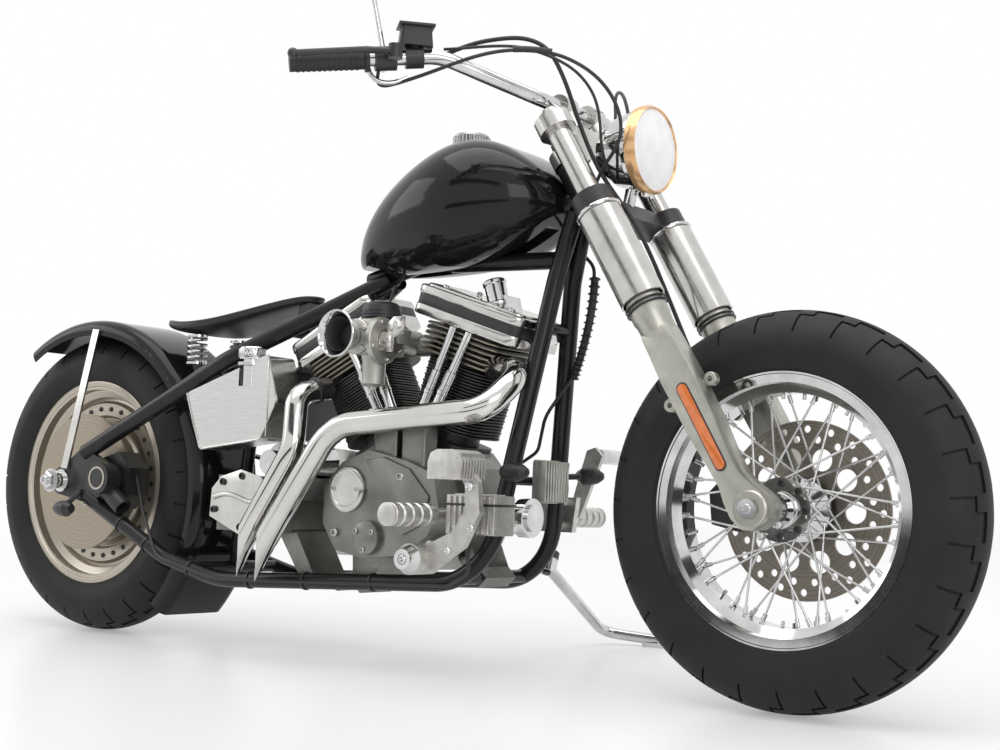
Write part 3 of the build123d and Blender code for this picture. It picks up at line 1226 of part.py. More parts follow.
LAMP = (1352.0, 928.0)
LAMP_RADIUS = 73.0
with BuildPart() as headlamp:
    shell = [
        (-98, 0), (-98, 22), (-88, 42), (-62, 60), (-22, 71), (-14, 72), (-12, LAMP_RADIUS + 3),
        (2, LAMP_RADIUS + 3), (4, LAMP_RADIUS - 6), (14, 40), (18, 0),
    ]
    with BuildSketch(Plane.XZ) as profile:
        with BuildLine():
            Polyline(*[(LAMP[0] + ahead, LAMP[1] + radius) for ahead, radius in shell], close=True)
        make_face()
    revolve(profile.sketch, axis=Axis((LAMP[0], 0, LAMP[1]), (1, 0, 0)))
    rod((1308, 0, 828), (1322, 0, 872), 9.0)
    add(steering_stem.part, mode=Mode.SUBTRACT)
keep(headlamp, "headlamp")

with BuildPart() as front_caliper:
    near = fork_point(FORK_OFFSET + AXLE_LEAD - 108, 0, 66)
    block = [
        (near[0] - 34, near[2] - 30), (near[0] - 40, near[2] + 24), (near[0] - 12, near[2] + 52),
        (near[0] + 34, near[2] + 40), (near[0] + 44, near[2] - 6), (near[0] + 12, near[2] - 40),
    ]
    side_plate(block, 36, 84)
    slot_from = disc_y - PAD_GAP
    slot_to = disc_y + DISC_THICK + PAD_GAP
    cross_rod(WHEELBASE, ABOVE, slot_from, slot_to, DISC_RADIUS + 6, Mode.SUBTRACT)
    rod((near[0], 76, near[2]), fork_point(FORK_OFFSET, FORK_SPREAD / 2 - 8, 64), 12.0)
    add(fork_sliders.part, mode=Mode.SUBTRACT)
keep(front_caliper, "front_caliper")

# ================================================================ cables and hoses
HOSE_RADIUS = 3.8
CABLE_RADIUS = 3.2
WIRE_LOOM_RADIUS = 2.6
caliper_top = (near[0] + 10, 70.0, near[2] + 44)
# routes on the steering: points, bend radii, radius
BRAKE_HOSE = (
    [
        (1062.0, -226.0, 1074.0), (1165.0, -172.0, 1122.0), (1228.0, -118.0, 1078.0),
        (1252.0, -66.0, 930.0), fork_point(77, -52, 600), fork_point(68, -20, 520),
        fork_point(16, 76, 400), fork_point(-2, 78, 220), caliper_top,
    ],
    [60.0, 50.0, 60.0, 60.0, 45.0, 60.0, 120.0],
    HOSE_RADIUS,
)
THROTTLE_CABLE = (
    [
        (1014.0, -334.0, 1031.0), (1000.0, -322.0, 1003.0), (1056.0, -298.0, 1018.0),
        (1225.0, -135.0, 1106.0), (1306.0, -82.0, 1030.0), (1306.0, -78.0, 925.0),
        fork_point(14, -58, 622),
    ],
    [12.0, 60.0, 60.0, 50.0, 50.0],
    CABLE_RADIUS,
)
SWITCH_LOOM = (
    [
        (1076.0, -238.0, 1082.0), (1184.0, -146.0, 1104.0), (1262.0, -86.0, 1040.0),
        (1270.0, -78.0, 905.0), (1304.0, -34.0, 876.0),
    ],
    [70.0, 60.0, 30.0],
    WIRE_LOOM_RADIUS,
)
CLUTCH_CABLE = (
    [
        (1024.0, 328.0, 1030.0), (1104.0, 276.0, 1030.0), (1180.0, 150.0, 1072.0),
        (1250.0, 62.0, 1066.0), (1276.0, 72.0, 930.0), fork_point(14, 58, 622),
    ],
    [50.0, 60.0, 40.0, 60.0],
    CABLE_RADIUS,
)
with BuildPart() as control_cables:
    for points, bends, radius in (BRAKE_HOSE, THROTTLE_CABLE, SWITCH_LOOM, CLUTCH_CABLE):
        tube(points, bends, radius)
    for neighbour in (hand_controls, brake_reservoir, headlamp, front_caliper, handlebar):
        add(neighbour.part, mode=Mode.SUBTRACT)
keep(control_cables, "control_cables")

# routes on the frame
FRAME_ROUTES = (
    (
        [
            (1160.0, 46.0, 790.0), (1216.0, 44.0, 738.0), (1226.0, 20.0, 640.0),
            (1186.0, 36.0, 545.0), (1130.0, 30.0, 470.0), (1080.0, 84.0, 408.0),
            (950.0, 130.0, 350.0),
        ],
        [40.0, 60.0, 120.0, 60.0, 60.0], CABLE_RADIUS,
    ),
    (
        [(846.0, -34.0, 745.0), (850.0, -60.0, 712.0), (872.0, -98.0, 700.0), (866.0, -104.0, 668.0)],
        [20.0, 14.0], WIRE_LOOM_RADIUS,
    ),
    (
        [
            (1104.0, -162.0, 262.0), (1096.0, -134.0, 190.0), (1040.0, -122.0, 164.0),
            (480.0, -139.5, 142.0), (318.0, -142.0, 178.0), (246.0, -118.0, 262.0),
            (180.0, -84.0, 340.0),
        ],
        [30.0, 40.0, 300.0, 60.0, 60.0], CABLE_RADIUS,
    ),
)
with BuildPart() as frame_cables:
    for points, bends, radius in FRAME_ROUTES:
        tube(points, bends, radius)
    for neighbour in (fuel_tank, primary_cover, carburettor, brake_controls, rear_caliper, frame_rails):
        add(neighbour.part, mode=Mode.SUBTRACT)
keep(frame_cables, "frame_cables")
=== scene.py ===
"""Chopper motorcycle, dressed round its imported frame.

Every piece is drawn on the upright motorcycle in millimetres: X ahead of the rear axle, Y to
the rider's left, Z up from the floor. PARK_MM leans it over its side stand, in metres, where
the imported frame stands.
"""
import logging
import math
from collections.abc import Callable
from dataclasses import dataclass
from enum import Enum

import bpy
from mathutils import Matrix, Vector

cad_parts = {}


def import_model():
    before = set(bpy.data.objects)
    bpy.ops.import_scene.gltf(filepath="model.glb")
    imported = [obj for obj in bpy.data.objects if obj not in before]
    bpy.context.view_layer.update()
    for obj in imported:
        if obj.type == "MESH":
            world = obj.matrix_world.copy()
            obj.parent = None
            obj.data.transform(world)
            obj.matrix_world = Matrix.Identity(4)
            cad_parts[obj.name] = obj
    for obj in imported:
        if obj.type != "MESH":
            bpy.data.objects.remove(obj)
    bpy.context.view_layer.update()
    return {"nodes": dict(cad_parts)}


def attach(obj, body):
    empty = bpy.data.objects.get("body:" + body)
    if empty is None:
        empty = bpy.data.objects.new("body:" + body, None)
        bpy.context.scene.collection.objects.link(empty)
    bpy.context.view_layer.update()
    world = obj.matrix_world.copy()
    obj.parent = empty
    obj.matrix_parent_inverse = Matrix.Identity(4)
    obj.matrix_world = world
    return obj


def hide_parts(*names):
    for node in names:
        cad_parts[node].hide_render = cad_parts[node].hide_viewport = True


LOG = logging.getLogger("chopper")
Point = tuple[float, float, float]
Pair = tuple[float, float]
Place = Point | Vector
Socket = bpy.types.NodeSocket
WHITE = (1.0, 1.0, 1.0, 1.0)

# Where the motorcycle stands, in metres: it leans over the line of its side stand.
STAND_PIVOT = 0.065
PARK = (
    Matrix.Translation((-0.8145, -0.0842, STAND_PIVOT))
    @ Matrix.Rotation(math.radians(-5.0), 4, "X")
    @ Matrix.Translation((0.0, 0.0, -STAND_PIVOT))
)
PARK_MM = PARK @ Matrix.Scale(0.001, 4)

# The upright motorcycle, in millimetres.
WHEELBASE = 1629.0
AXLE_UP = 320.0
FORK_TRAIL = 71.0
RAKE = math.radians(31.0)
FRONT_AXLE = Vector((WHEELBASE, 0.0, AXLE_UP))
REAR_AXLE = Vector((0.0, 0.0, AXLE_UP))
FORK_UP = Vector((-math.sin(RAKE), 0.0, math.cos(RAKE)))
FORK_AHEAD = Vector((math.cos(RAKE), 0.0, math.sin(RAKE)))
ACROSS = Vector((0.0, 1.0, 0.0))
X_AXIS = Vector((1.0, 0.0, 0.0))
Z_AXIS = Vector((0.0, 0.0, 1.0))

# Limits of the modelling, in millimetres, and of the nodes.
MERGE_WITHIN = 0.002
EMPTY_UNDER = 0.001
BEVEL_OVER = math.radians(35.0)
NEARLY_ALONG = 0.95
LEAST_ROUGH = 0.02
SMUDGE_SCALE = 1.7
BRUSH_STRETCH = 22.0
BUMP_HEIGHT = 0.0006


class Body(Enum):
    """The frame's bodies."""

    CHASSIS = "chassis"
    STEERING = "steering"
    FRONT_WHEEL = "front_wheel"
    REAR_WHEEL = "rear_wheel"
    STAND = "side_stand"


class Grain(Enum):
    """How a finish varies over a surface."""

    CLOUDY = "cloudy"
    BRUSHED = "brushed"
    TURNED = "turned"
    LEATHER = "leather"


class Nodes:
    """Builds the node tree of one material or world."""

    def __init__(self, owner: bpy.types.ID) -> None:
        """Switch the owner's nodes on.

        Args:
            owner: the new material or world.
        """
        owner.use_nodes = True
        self.tree = owner.node_tree

    def add(self, kind: str, out: str, inputs: dict | None = None, **settings) -> Socket:
        """Add a node.

        Args:
            kind: its type, without the word ShaderNode.
            out: the output to hand back.
            inputs: what goes into it, as in fill.
            settings: its other settings.

        Returns:
            That output.
        """
        node = self.tree.nodes.new("ShaderNode" + kind)
        for key, value in settings.items():
            setattr(node, key, value)
        self.fill(node, inputs or {})
        return node.outputs[out]

    def fill(self, node: bpy.types.Node, inputs: dict) -> None:
        """Link the inputs that are given sockets and set the others.

        Args:
            node: the node.
            inputs: sockets or values by the input's name or number.
        """
        for key, value in inputs.items():
            if isinstance(value, Socket):
                self.tree.links.new(value, node.inputs[key])
            else:
                node.inputs[key].default_value = value


@dataclass(frozen=True)
class Finish:
    """A surface finish, made of procedural nodes.

    Attributes hold the two colours it varies between, its gloss and the depth of its grain.
    """

    name: str
    colour: Point
    shade: Point
    slot: str
    metallic: float = 0.0
    rough: float = 0.4
    rough_spread: float = 0.1
    scale: float = 18.0
    grain: Grain = Grain.CLOUDY
    bump: float = 0.05
    bump_scale: float = 400.0
    coat: float = 0.0
    contrast: float = 0.5
    specular: float = 0.5
    centre: Point = (0.0, 0.0, 0.0)

    def material(self) -> bpy.types.Material:
        """Make the material once and hand it back after that.

        Returns:
            The material.
        """
        label = self.name + "_finish"
        known = bpy.data.materials.get(label)
        if known is not None:
            return known
        made = bpy.data.materials.new(label)
        nodes = Nodes(made)
        place = nodes.add("TexCoord", "Object")
        broad = self._pattern(nodes, place)
        tint = nodes.add("ValToRGB", "Color", {"Fac": broad})
        low, high = tint.node.color_ramp.elements
        low.position = 0.5 - self.contrast / 2
        high.position = 0.5 + self.contrast / 2
        low.color = (*self.shade, 1.0)
        high.color = (*self.colour, 1.0)
        smudge = nodes.add("TexNoise", "Fac", {
            "Scale": self.scale * SMUDGE_SCALE, "Detail": 4.0, "Vector": place,
        })
        gloss = nodes.add("MapRange", "Result", {
            "To Min": max(LEAST_ROUGH, self.rough - self.rough_spread),
            "To Max": self.rough + self.rough_spread,
            "Value": smudge,
        })
        surface = {
            "Metallic": self.metallic, "Specular IOR Level": self.specular,
            "Coat Weight": self.coat, "Base Color": tint, "Roughness": gloss,
        }
        if self.bump:
            surface["Normal"] = self._bumps(nodes, place, broad)
        nodes.fill(nodes.tree.nodes["Principled BSDF"], surface)
        return made

    def _pattern(self, nodes: Nodes, place: Socket) -> Socket:
        """The broad variation of the finish.

        Args:
            nodes: the material's nodes.
            place: object coordinates.

        Returns:
            The socket that gives it from 0 to 1.
        """
        noise = {"Scale": self.scale, "Detail": 6.0}
        if self.grain is Grain.BRUSHED:
            stretch = {"Scale": (1.0, 1.0, BRUSH_STRETCH), "Vector": place}
            place = nodes.add("Mapping", "Vector", stretch)
        if self.grain is not Grain.TURNED:
            return nodes.add("TexNoise", "Fac", {**noise, "Vector": place})
        middle = PARK_MM @ Vector(self.centre)
        spoke = nodes.add("Mapping", "Vector", {"Location": -middle, "Vector": place})
        axle = PARK.to_3x3() @ ACROSS
        square = nodes.add("VectorMath", "Vector", {0: spoke, 1: axle}, operation="CROSS_PRODUCT")
        reach = nodes.add("VectorMath", "Value", {0: square}, operation="LENGTH")
        return nodes.add("TexNoise", "Fac", {**noise, "W": reach}, noise_dimensions="1D")

    def _bumps(self, nodes: Nodes, place: Socket, broad: Socket) -> Socket:
        """Fine grain in the surface's height.

        Args:
            nodes: the material's nodes.
            place: object coordinates.
            broad: the broad variation, which lined finishes use again.

        Returns:
            The socket of the bumped normal.
        """
        fine = {"Scale": self.bump_scale, "Vector": place}
        if self.grain is Grain.LEATHER:
            height = nodes.add("TexVoronoi", "Distance", fine, feature="DISTANCE_TO_EDGE")
        elif self.grain is Grain.CLOUDY:
            height = nodes.add("TexNoise", "Fac", {**fine, "Detail": 3.0})
        else:
            height = broad
        bump = {"Strength": self.bump, "Distance": BUMP_HEIGHT, "Height": height}
        return nodes.add("Bump", "Normal", bump)


GLOSS_BLACK = Finish(
    "gloss_black", (0.012, 0.012, 0.013), (0.007, 0.007, 0.008), "black_paint",
    rough=0.09, rough_spread=0.04, scale=9.0, bump=0.012, bump_scale=60.0, specular=0.28,
)
FRAME_BLACK = Finish(
    "frame_black", (0.016, 0.016, 0.017), (0.007, 0.007, 0.008), "black_paint",
    rough=0.24, rough_spread=0.08, scale=14.0, bump=0.04, bump_scale=180.0, specular=0.3,
)
SATIN_BLACK = Finish(
    "satin_black", (0.03, 0.03, 0.031), (0.014, 0.014, 0.015), "black_steel",
    rough=0.38, scale=20.0, bump=0.08, bump_scale=350.0,
)
CHROME = Finish(
    "chrome", (0.7, 0.7, 0.7), (0.5, 0.5, 0.5), "chrome", metallic=1.0,
    rough=0.08, rough_spread=0.04, scale=26.0, bump=0.01, bump_scale=90.0,
)
POLISHED = Finish(
    "polished_alloy", (0.64, 0.63, 0.61), (0.51, 0.5, 0.48), "polished_alloy", metallic=1.0,
    rough=0.2, rough_spread=0.08, scale=30.0, bump=0.02, bump_scale=260.0,
)
BRUSHED = Finish(
    "brushed_alloy", (0.66, 0.66, 0.65), (0.54, 0.54, 0.53), "polished_alloy", metallic=1.0,
    rough=0.26, rough_spread=0.08, scale=24.0, grain=Grain.BRUSHED, bump=0.03,
)
CAST = Finish(
    "cast_alloy", (0.56, 0.55, 0.51), (0.33, 0.33, 0.3), "cast_alloy", metallic=0.75,
    rough=0.42, rough_spread=0.12, scale=16.0, bump=0.22, bump_scale=420.0, contrast=0.7,
)
DARK_CAST = Finish(
    "dark_cast", (0.33, 0.325, 0.305), (0.09, 0.088, 0.082), "cast_alloy", metallic=0.92,
    rough=0.31, rough_spread=0.14, scale=11.0, bump=0.2, bump_scale=380.0, contrast=0.7,
)
HEAD_IRON = Finish(
    "head_fins", (0.36, 0.335, 0.27), (0.14, 0.13, 0.1), "barrel", metallic=0.8,
    rough=0.45, rough_spread=0.12, scale=26.0, bump=0.25, bump_scale=500.0, contrast=0.7,
)
BARREL_BLACK = Finish(
    "barrel_black", (0.05, 0.048, 0.045), (0.018, 0.018, 0.017), "barrel", metallic=0.3,
    rough=0.42, rough_spread=0.12, scale=30.0, bump=0.25, bump_scale=450.0,
)
CREAM = Finish(
    "cream_alloy", (0.56, 0.52, 0.44), (0.4, 0.36, 0.3), "cream_alloy", metallic=0.75,
    rough=0.33, rough_spread=0.08, scale=260.0, grain=Grain.TURNED, bump=0.04,
    centre=(0.0, 0.0, AXLE_UP),
)
FRONT_DISC = Finish(
    "front_disc_steel", (0.34, 0.31, 0.26), (0.15, 0.13, 0.11), "steel", metallic=0.9,
    rough=0.36, scale=520.0, grain=Grain.TURNED, centre=(WHEELBASE, 0.0, AXLE_UP),
)
REAR_DISC = Finish(
    "rear_disc_steel", (0.44, 0.39, 0.31), (0.26, 0.22, 0.17), "steel", metallic=0.9,
    rough=0.34, scale=520.0, grain=Grain.TURNED, centre=(0.0, 0.0, AXLE_UP),
)
TYRE = Finish(
    "tyre_rubber", (0.013, 0.013, 0.013), (0.006, 0.006, 0.006), "tyre_rubber", specular=0.36,
    rough=0.62, rough_spread=0.12, scale=12.0, bump=0.16, bump_scale=520.0,
)
RUBBER = Finish(
    "black_rubber", (0.022, 0.022, 0.022), (0.012, 0.012, 0.012), "rubber",
    rough=0.48, scale=24.0, bump=0.1, bump_scale=420.0,
)
LEATHER = Finish(
    "seat_leather", (0.026, 0.024, 0.023), (0.012, 0.011, 0.011), "black_leather",
    rough=0.42, rough_spread=0.12, scale=16.0, grain=Grain.LEATHER, bump=0.5, bump_scale=620.0,
)
PLASTIC = Finish(
    "black_plastic", (0.026, 0.026, 0.027), (0.015, 0.015, 0.015), "black_plastic",
    rough_spread=0.08, scale=22.0, bump=0.08, bump_scale=500.0,
)
AMBER_RIM = Finish(
    "amber_rim", (0.86, 0.56, 0.3), (0.72, 0.42, 0.2), "lamp", metallic=0.6,
    rough=0.22, rough_spread=0.08, bump=0.02, bump_scale=200.0,
)
AMBER_LENS = Finish(
    "amber_reflector", (0.75, 0.2, 0.035), (0.55, 0.12, 0.02), "lamp",
    rough=0.18, rough_spread=0.06, scale=60.0, bump=0.35, bump_scale=240.0, coat=1.0,
)
SLIDER_CAST = Finish(
    "slider_casting", (0.54, 0.53, 0.48), (0.32, 0.32, 0.28), "cast_alloy", metallic=0.8,
    rough=0.34, rough_spread=0.12, scale=22.0, bump=0.14, bump_scale=380.0, contrast=0.6,
)
STEEL = Finish(
    "bright_steel", (0.5, 0.5, 0.49), (0.3, 0.3, 0.29), "steel", metallic=1.0,
    rough=0.25, scale=40.0, bump=0.03, bump_scale=300.0,
)
PIPE_CHROME = Finish(
    "pipe_chrome", (0.7, 0.69, 0.67), (0.54, 0.535, 0.52), "chrome", metallic=1.0,
    rough=0.11, rough_spread=0.05, scale=12.0, bump=0.015, bump_scale=70.0, contrast=0.8,
)
MACHINED = Finish(
    "machined_alloy", (0.66, 0.65, 0.62), (0.46, 0.45, 0.43), "polished_alloy", metallic=0.9,
    rough_spread=0.08, scale=60.0, bump=0.06, bump_scale=320.0,
)
# the lamp's clear glass is drawn opaque: its near-white colour and grey mottles are painted
# reflection, standing for the bright reflector mirrored through it
LENS = Finish(
    "lamp_glass_painted_reflection", (0.93, 0.94, 0.95), (0.8, 0.81, 0.83), "lamp",
    rough=0.1, rough_spread=0.05, scale=30.0, bump_scale=300.0, coat=0.6,
)

NODES: tuple[tuple[Finish, str], ...] = (
    (FRAME_BLACK, "frame_front frame_rails frame_struts cross_members seat_post"),
    (SATIN_BLACK, (
        "axle_plates seat_bracket steering_stem rear_caliper stand_bracket hand_controls "
        "front_caliper"
    )),
    (TYRE, "front_tyre rear_tyre"),
    (CHROME, (
        "front_rim front_hub rear_axle front_axle pushrod_tubes engine_mounts exhaust_pipes "
        "starter_motor filler_caps seat_springs horn side_stand handlebar mirror headlamp"
    )),
    (FRONT_DISC, "front_disc"),
    (CREAM, "rear_wheel"),
    (POLISHED, "fork_tubes top_clamp rocker_boxes primary_cover fender_stays"),
    (CAST, "fork_sliders carburettor regulator"),
    (DARK_CAST, "crankcase transmission"),
    (BARREL_BLACK, "cylinders"),
    (RUBBER, "drive_belt grips control_cables frame_cables"),
    (BRUSHED, "oil_tank"),
    (PLASTIC, "battery_box turn_signals brake_reservoir"),
    (GLOSS_BLACK, "fuel_tank rear_fender"),
    (LEATHER, "seat"),
    (REAR_DISC, "rear_disc"),
    (MACHINED, "brake_controls shift_controls"),
)
NODE_FINISH = {node: finish for finish, nodes in NODES for node in nodes.split()}


@dataclass
class Stage:
    """Floor, backdrop, lamps and camera, in metres."""

    camera_place: Point = (1.8853, -2.3365, 0.5289)
    yaw: float = math.radians(35.76)
    pitch: float = math.radians(0.25)
    roll: float = math.radians(-0.73)
    lens: float = 55.96
    sensor: float = 36.0
    sight: float = 200.0
    daylight: float = 0.62
    floor_half: float = 30.0
    floor_near: float = 1.7
    floor_far: float = 3.6
    floor_glow: float = 0.3
    lamps: tuple = (
        ("overhead", (0.2, -0.4, 3.6), (0.0, 0.0, 0.3), (4.5, 3.0), 78.0),
        ("front_side", (3.6, -2.4, 1.9), (0.2, 0.0, 0.5), (2.2, 1.8), 26.0),
        ("rear_side", (-3.4, -1.6, 2.2), (0.0, 0.0, 0.5), (2.0, 1.6), 16.0),
    )
    cards: tuple = (
        ("card_low", (0.6, -3.6, 0.35), (5.0, 0.5)),
        ("card_high", (0.2, -3.8, 2.6), (4.5, 0.7)),
    )

    def build(self) -> None:
        """Set all of it up: the cards are dark, and only metal mirrors them."""
        self._camera()
        self._world()
        self._floor()
        for row in self.lamps:
            self._lamp(*row)
        for row in self.cards:
            self._card(*row)
        bpy.context.scene.view_settings.view_transform = "Standard"

    def _camera(self) -> None:
        """The camera, turned by yaw, pitch and roll."""
        forward = Vector((
            -math.sin(self.yaw) * math.cos(self.pitch),
            math.cos(self.yaw) * math.cos(self.pitch),
            math.sin(self.pitch),
        ))
        right = forward.cross(Z_AXIS).normalized()
        above = right.cross(forward)
        turned_right = right * math.cos(self.roll) + above * math.sin(self.roll)
        turned_above = above * math.cos(self.roll) - right * math.sin(self.roll)
        matrix = Matrix((turned_right, turned_above, -forward)).transposed().to_4x4()
        matrix.translation = self.camera_place
        data = bpy.data.cameras.new("camera")
        data.lens = self.lens
        data.sensor_width = self.sensor
        data.clip_end = self.sight
        camera = bpy.data.objects.new("camera", data)
        camera.matrix_world = matrix
        bpy.context.scene.collection.objects.link(camera)
        bpy.context.scene.camera = camera

    def _world(self) -> None:
        """White wherever it is seen or mirrored, softer as a light."""
        world = bpy.data.worlds.new("studio")
        bpy.context.scene.world = world
        nodes = Nodes(world)
        seen = nodes.add("LightPath", "Is Camera Ray")
        path = seen.node.outputs
        for kind in ("Is Glossy Ray", "Is Transmission Ray"):
            seen = nodes.add("Math", "Value", {0: seen, 1: path[kind]}, operation="MAXIMUM")
        level = {"To Min": self.daylight, "To Max": 1.0, "Value": seen}
        nodes.fill(nodes.tree.nodes["Background"], {
            "Color": WHITE, "Strength": nodes.add("MapRange", "Result", level),
        })

    def _floor(self) -> None:
        """A pale floor with a faint sheen that fades into white."""
        clear_selection()
        bpy.ops.mesh.primitive_plane_add(size=2 * self.floor_half)
        floor = bpy.context.object
        floor.name = "floor"
        paint = bpy.data.materials.new("floor_paint")
        nodes = Nodes(paint)
        shader = nodes.tree.nodes["Principled BSDF"]
        nodes.fill(shader, {
            "Base Color": (0.95, 0.95, 0.95, 1.0), "Roughness": 0.3, "Specular IOR Level": 0.35,
        })
        far = nodes.add("Emission", "Emission", {"Color": WHITE})
        place = nodes.add("TexCoord", "Object")
        reach = nodes.add("VectorMath", "Value", {0: place}, operation="LENGTH")
        fade = nodes.add("MapRange", "Result", {
            "From Min": self.floor_near, "From Max": self.floor_far,
            "To Min": self.floor_glow, "Value": reach,
        }, interpolation_type="SMOOTHSTEP")
        both = nodes.add("MixShader", "Shader", {"Fac": fade, 1: shader.outputs["BSDF"], 2: far})
        nodes.fill(nodes.tree.nodes["Material Output"], {"Surface": both})
        floor.data.materials.append(paint)

    def _lamp(self, name: str, place: Point, aim: Point, size: Pair, power: float) -> None:
        """One area lamp.

        Args:
            name: its name.
            place: where it hangs.
            aim: the point it faces.
            size: its width and height.
            power: in watts.
        """
        data = bpy.data.lights.new(name, "AREA")
        data.shape = "RECTANGLE"
        data.size, data.size_y = size
        data.energy = power
        lamp = bpy.data.objects.new(name, data)
        lamp.location = place
        lamp.rotation_euler = (Vector(aim) - Vector(place)).to_track_quat("-Z", "Y").to_euler()
        bpy.context.scene.collection.objects.link(lamp)

    def _card(self, name: str, place: Point, size: Pair) -> None:
        """A dark card behind the camera's side of the studio, for depth in the metal.

        Args:
            name: its name.
            place: its middle.
            size: its width and height.
        """
        clear_selection()
        bpy.ops.mesh.primitive_plane_add(size=1.0, location=place)
        card = bpy.context.object
        card.name = name
        card.scale = (*size, 1.0)
        card.rotation_euler = (math.radians(90.0), 0.0, 0.0)
        felt = bpy.data.materials.new(name + "_felt")
        nodes = Nodes(felt)
        nodes.fill(nodes.tree.nodes["Principled BSDF"], {
            "Base Color": (0.03, 0.03, 0.03, 1.0), "Roughness": 0.9,
        })
        card.data.materials.append(felt)
        card.visible_camera = card.visible_diffuse = card.visible_shadow = False


def clear_selection() -> None:
    """Deselect everything."""
    for obj in bpy.context.selected_objects:
        obj.select_set(False)
    bpy.context.view_layer.objects.active = None


def activate(obj: bpy.types.Object) -> None:
    """Make one object the only one selected.

    Args:
        obj: the object.
    """
    clear_selection()
    obj.select_set(True)
    bpy.context.view_layer.objects.active = obj


def dress_nodes(frame: dict) -> None:
    """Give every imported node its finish.
    """
    for name, obj in frame["nodes"].items():
        obj.data.materials.clear()
        obj.data.materials.append(NODE_FINISH[name].material())


def fork_mm(ahead: float, left: float, up: float) -> Vector:
    """Point on the fork, measured from the steering axis at the front axle's height.

    Args:
        ahead: square to the fork, forward.
        left: to the rider's left.
        up: along the fork.

    Returns:
        The point on the upright motorcycle.
    """
    start = FRONT_AXLE - FORK_AHEAD * FORK_TRAIL
    return start + FORK_AHEAD * ahead + ACROSS * left + FORK_UP * up


def square_to(axis: Vector) -> Vector:
    """A direction square to an axis: as near upright as it can be, or else ahead.

    Args:
        axis: the axis's direction, one long.

    Returns:
        The direction.
    """
    hint = X_AXIS if abs(axis.dot(Z_AXIS)) > NEARLY_ALONG else Z_AXIS
    return (hint - axis * hint.dot(axis)).normalized()


def outlined(name: str, points: list, filled: bool = True) -> bpy.types.Object:
    """A flat face, or a bare loop, through points.

    Args:
        name: the object's name.
        points: its corners in order.
        filled: whether the loop carries a face.

    Returns:
        The new object.
    """
    clear_selection()
    fill = "NGON" if filled else "NOTHING"
    bpy.ops.mesh.primitive_circle_add(vertices=len(points), radius=1.0, fill_type=fill)
    made = bpy.context.object
    made.name = name
    for vertex, point in zip(made.data.vertices, points):
        vertex.co = point
    return made


def edited(obj: bpy.types.Object, *steps: Callable[[], object]) -> bpy.types.Object:
    """Run edit-mode operators on a whole object.

    Args:
        obj: the object.
        steps: functions without arguments, run in order with all of it selected.

    Returns:
        The same object.
    """
    activate(obj)
    bpy.ops.object.mode_set(mode="EDIT")
    bpy.ops.mesh.select_all(action="SELECT")
    for step in steps:
        step()
    bpy.ops.object.mode_set(mode="OBJECT")
    return obj


def tidy_mesh() -> None:
    """Merge doubles, drop empty faces and turn every face outwards, in edit mode."""
    bpy.ops.mesh.select_all(action="SELECT")
    bpy.ops.mesh.remove_doubles(threshold=MERGE_WITHIN)
    bpy.ops.mesh.dissolve_degenerate(threshold=EMPTY_UNDER)
    bpy.ops.mesh.select_all(action="SELECT")
    bpy.ops.mesh.delete_loose()
    bpy.ops.mesh.select_all(action="SELECT")
    bpy.ops.mesh.normals_make_consistent(inside=False)


def modified(obj: bpy.types.Object, kind: str, **settings) -> bpy.types.Object:
    """Add a modifier and apply it.

    Args:
        obj: the object.
        kind: the modifier's type.
        settings: its settings.

    Returns:
        The same object.
    """
    activate(obj)
    modifier = obj.modifiers.new(kind.lower(), kind)
    for key, value in settings.items():
        setattr(modifier, key, value)
    bpy.ops.object.modifier_apply(modifier=modifier.name)
    return obj


def prism(name: str, corners: list, shift: Vector, bevel: float = 1.0) -> bpy.types.Object:
    """A plate with any flat outline.

    Args:
        name: the object's name.
        corners: its outline.
        shift: from its first face to its second.
        bevel: width of its rounded edges.

    Returns:
        The new object.
    """
    made = outlined(name, corners)
    grow = {"value": tuple(shift)}
    edited(
        made,
        lambda: bpy.ops.mesh.extrude_region_move(TRANSFORM_OT_translate=grow),
        tidy_mesh,
    )
    return modified(
        made, "BEVEL", width=bevel, segments=2, limit_method="ANGLE", angle_limit=BEVEL_OVER
    )


def slab(name: str, outline: list, near: float, far: float,
         bevel: float = 1.0) -> bpy.types.Object:
    """A plate with an outline seen from the side.

    Args:
        name: the object's name.
        outline: (X, Z) corners.
        near: its Y on one face.
        far: its Y on the other.
        bevel: width of its rounded edges.

    Returns:
        The new object.
    """
    return prism(name, [(x, near, z) for x, z in outline], ACROSS * (far - near), bevel)


def upright(left: float, low: float, right: float, high: float) -> list:
    """Corners of an upright rectangle for a slab.

    Args:
        left: its least X.
        low: its least Z.
        right: its greatest X.
        high: its greatest Z.

    Returns:
        (X, Z) corners.
    """
    return [(left, low), (left, high), (right, high), (right, low)]


def turned(name: str, profile: list, centre: Place, axis: Place,
           steps: int = 40) -> bpy.types.Object:
    """A turned piece: a profile spun round an axis.

    Args:
        name: the object's name.
        profile: (along, radius) corners of the closed section.
        centre: the point where along is zero.
        axis: the axis's direction.
        steps: how many times the profile is spun on in a whole turn.

    Returns:
        The new object.
    """
    along = Vector(axis).normalized()
    out = square_to(along)
    start = Vector(centre)
    made = outlined(name, [start + along * a + out * r for a, r in profile], filled=False)
    turn = {"steps": steps, "angle": 2 * math.pi, "center": tuple(start), "axis": tuple(along)}
    return edited(made, lambda: bpy.ops.mesh.spin(**turn), tidy_mesh)


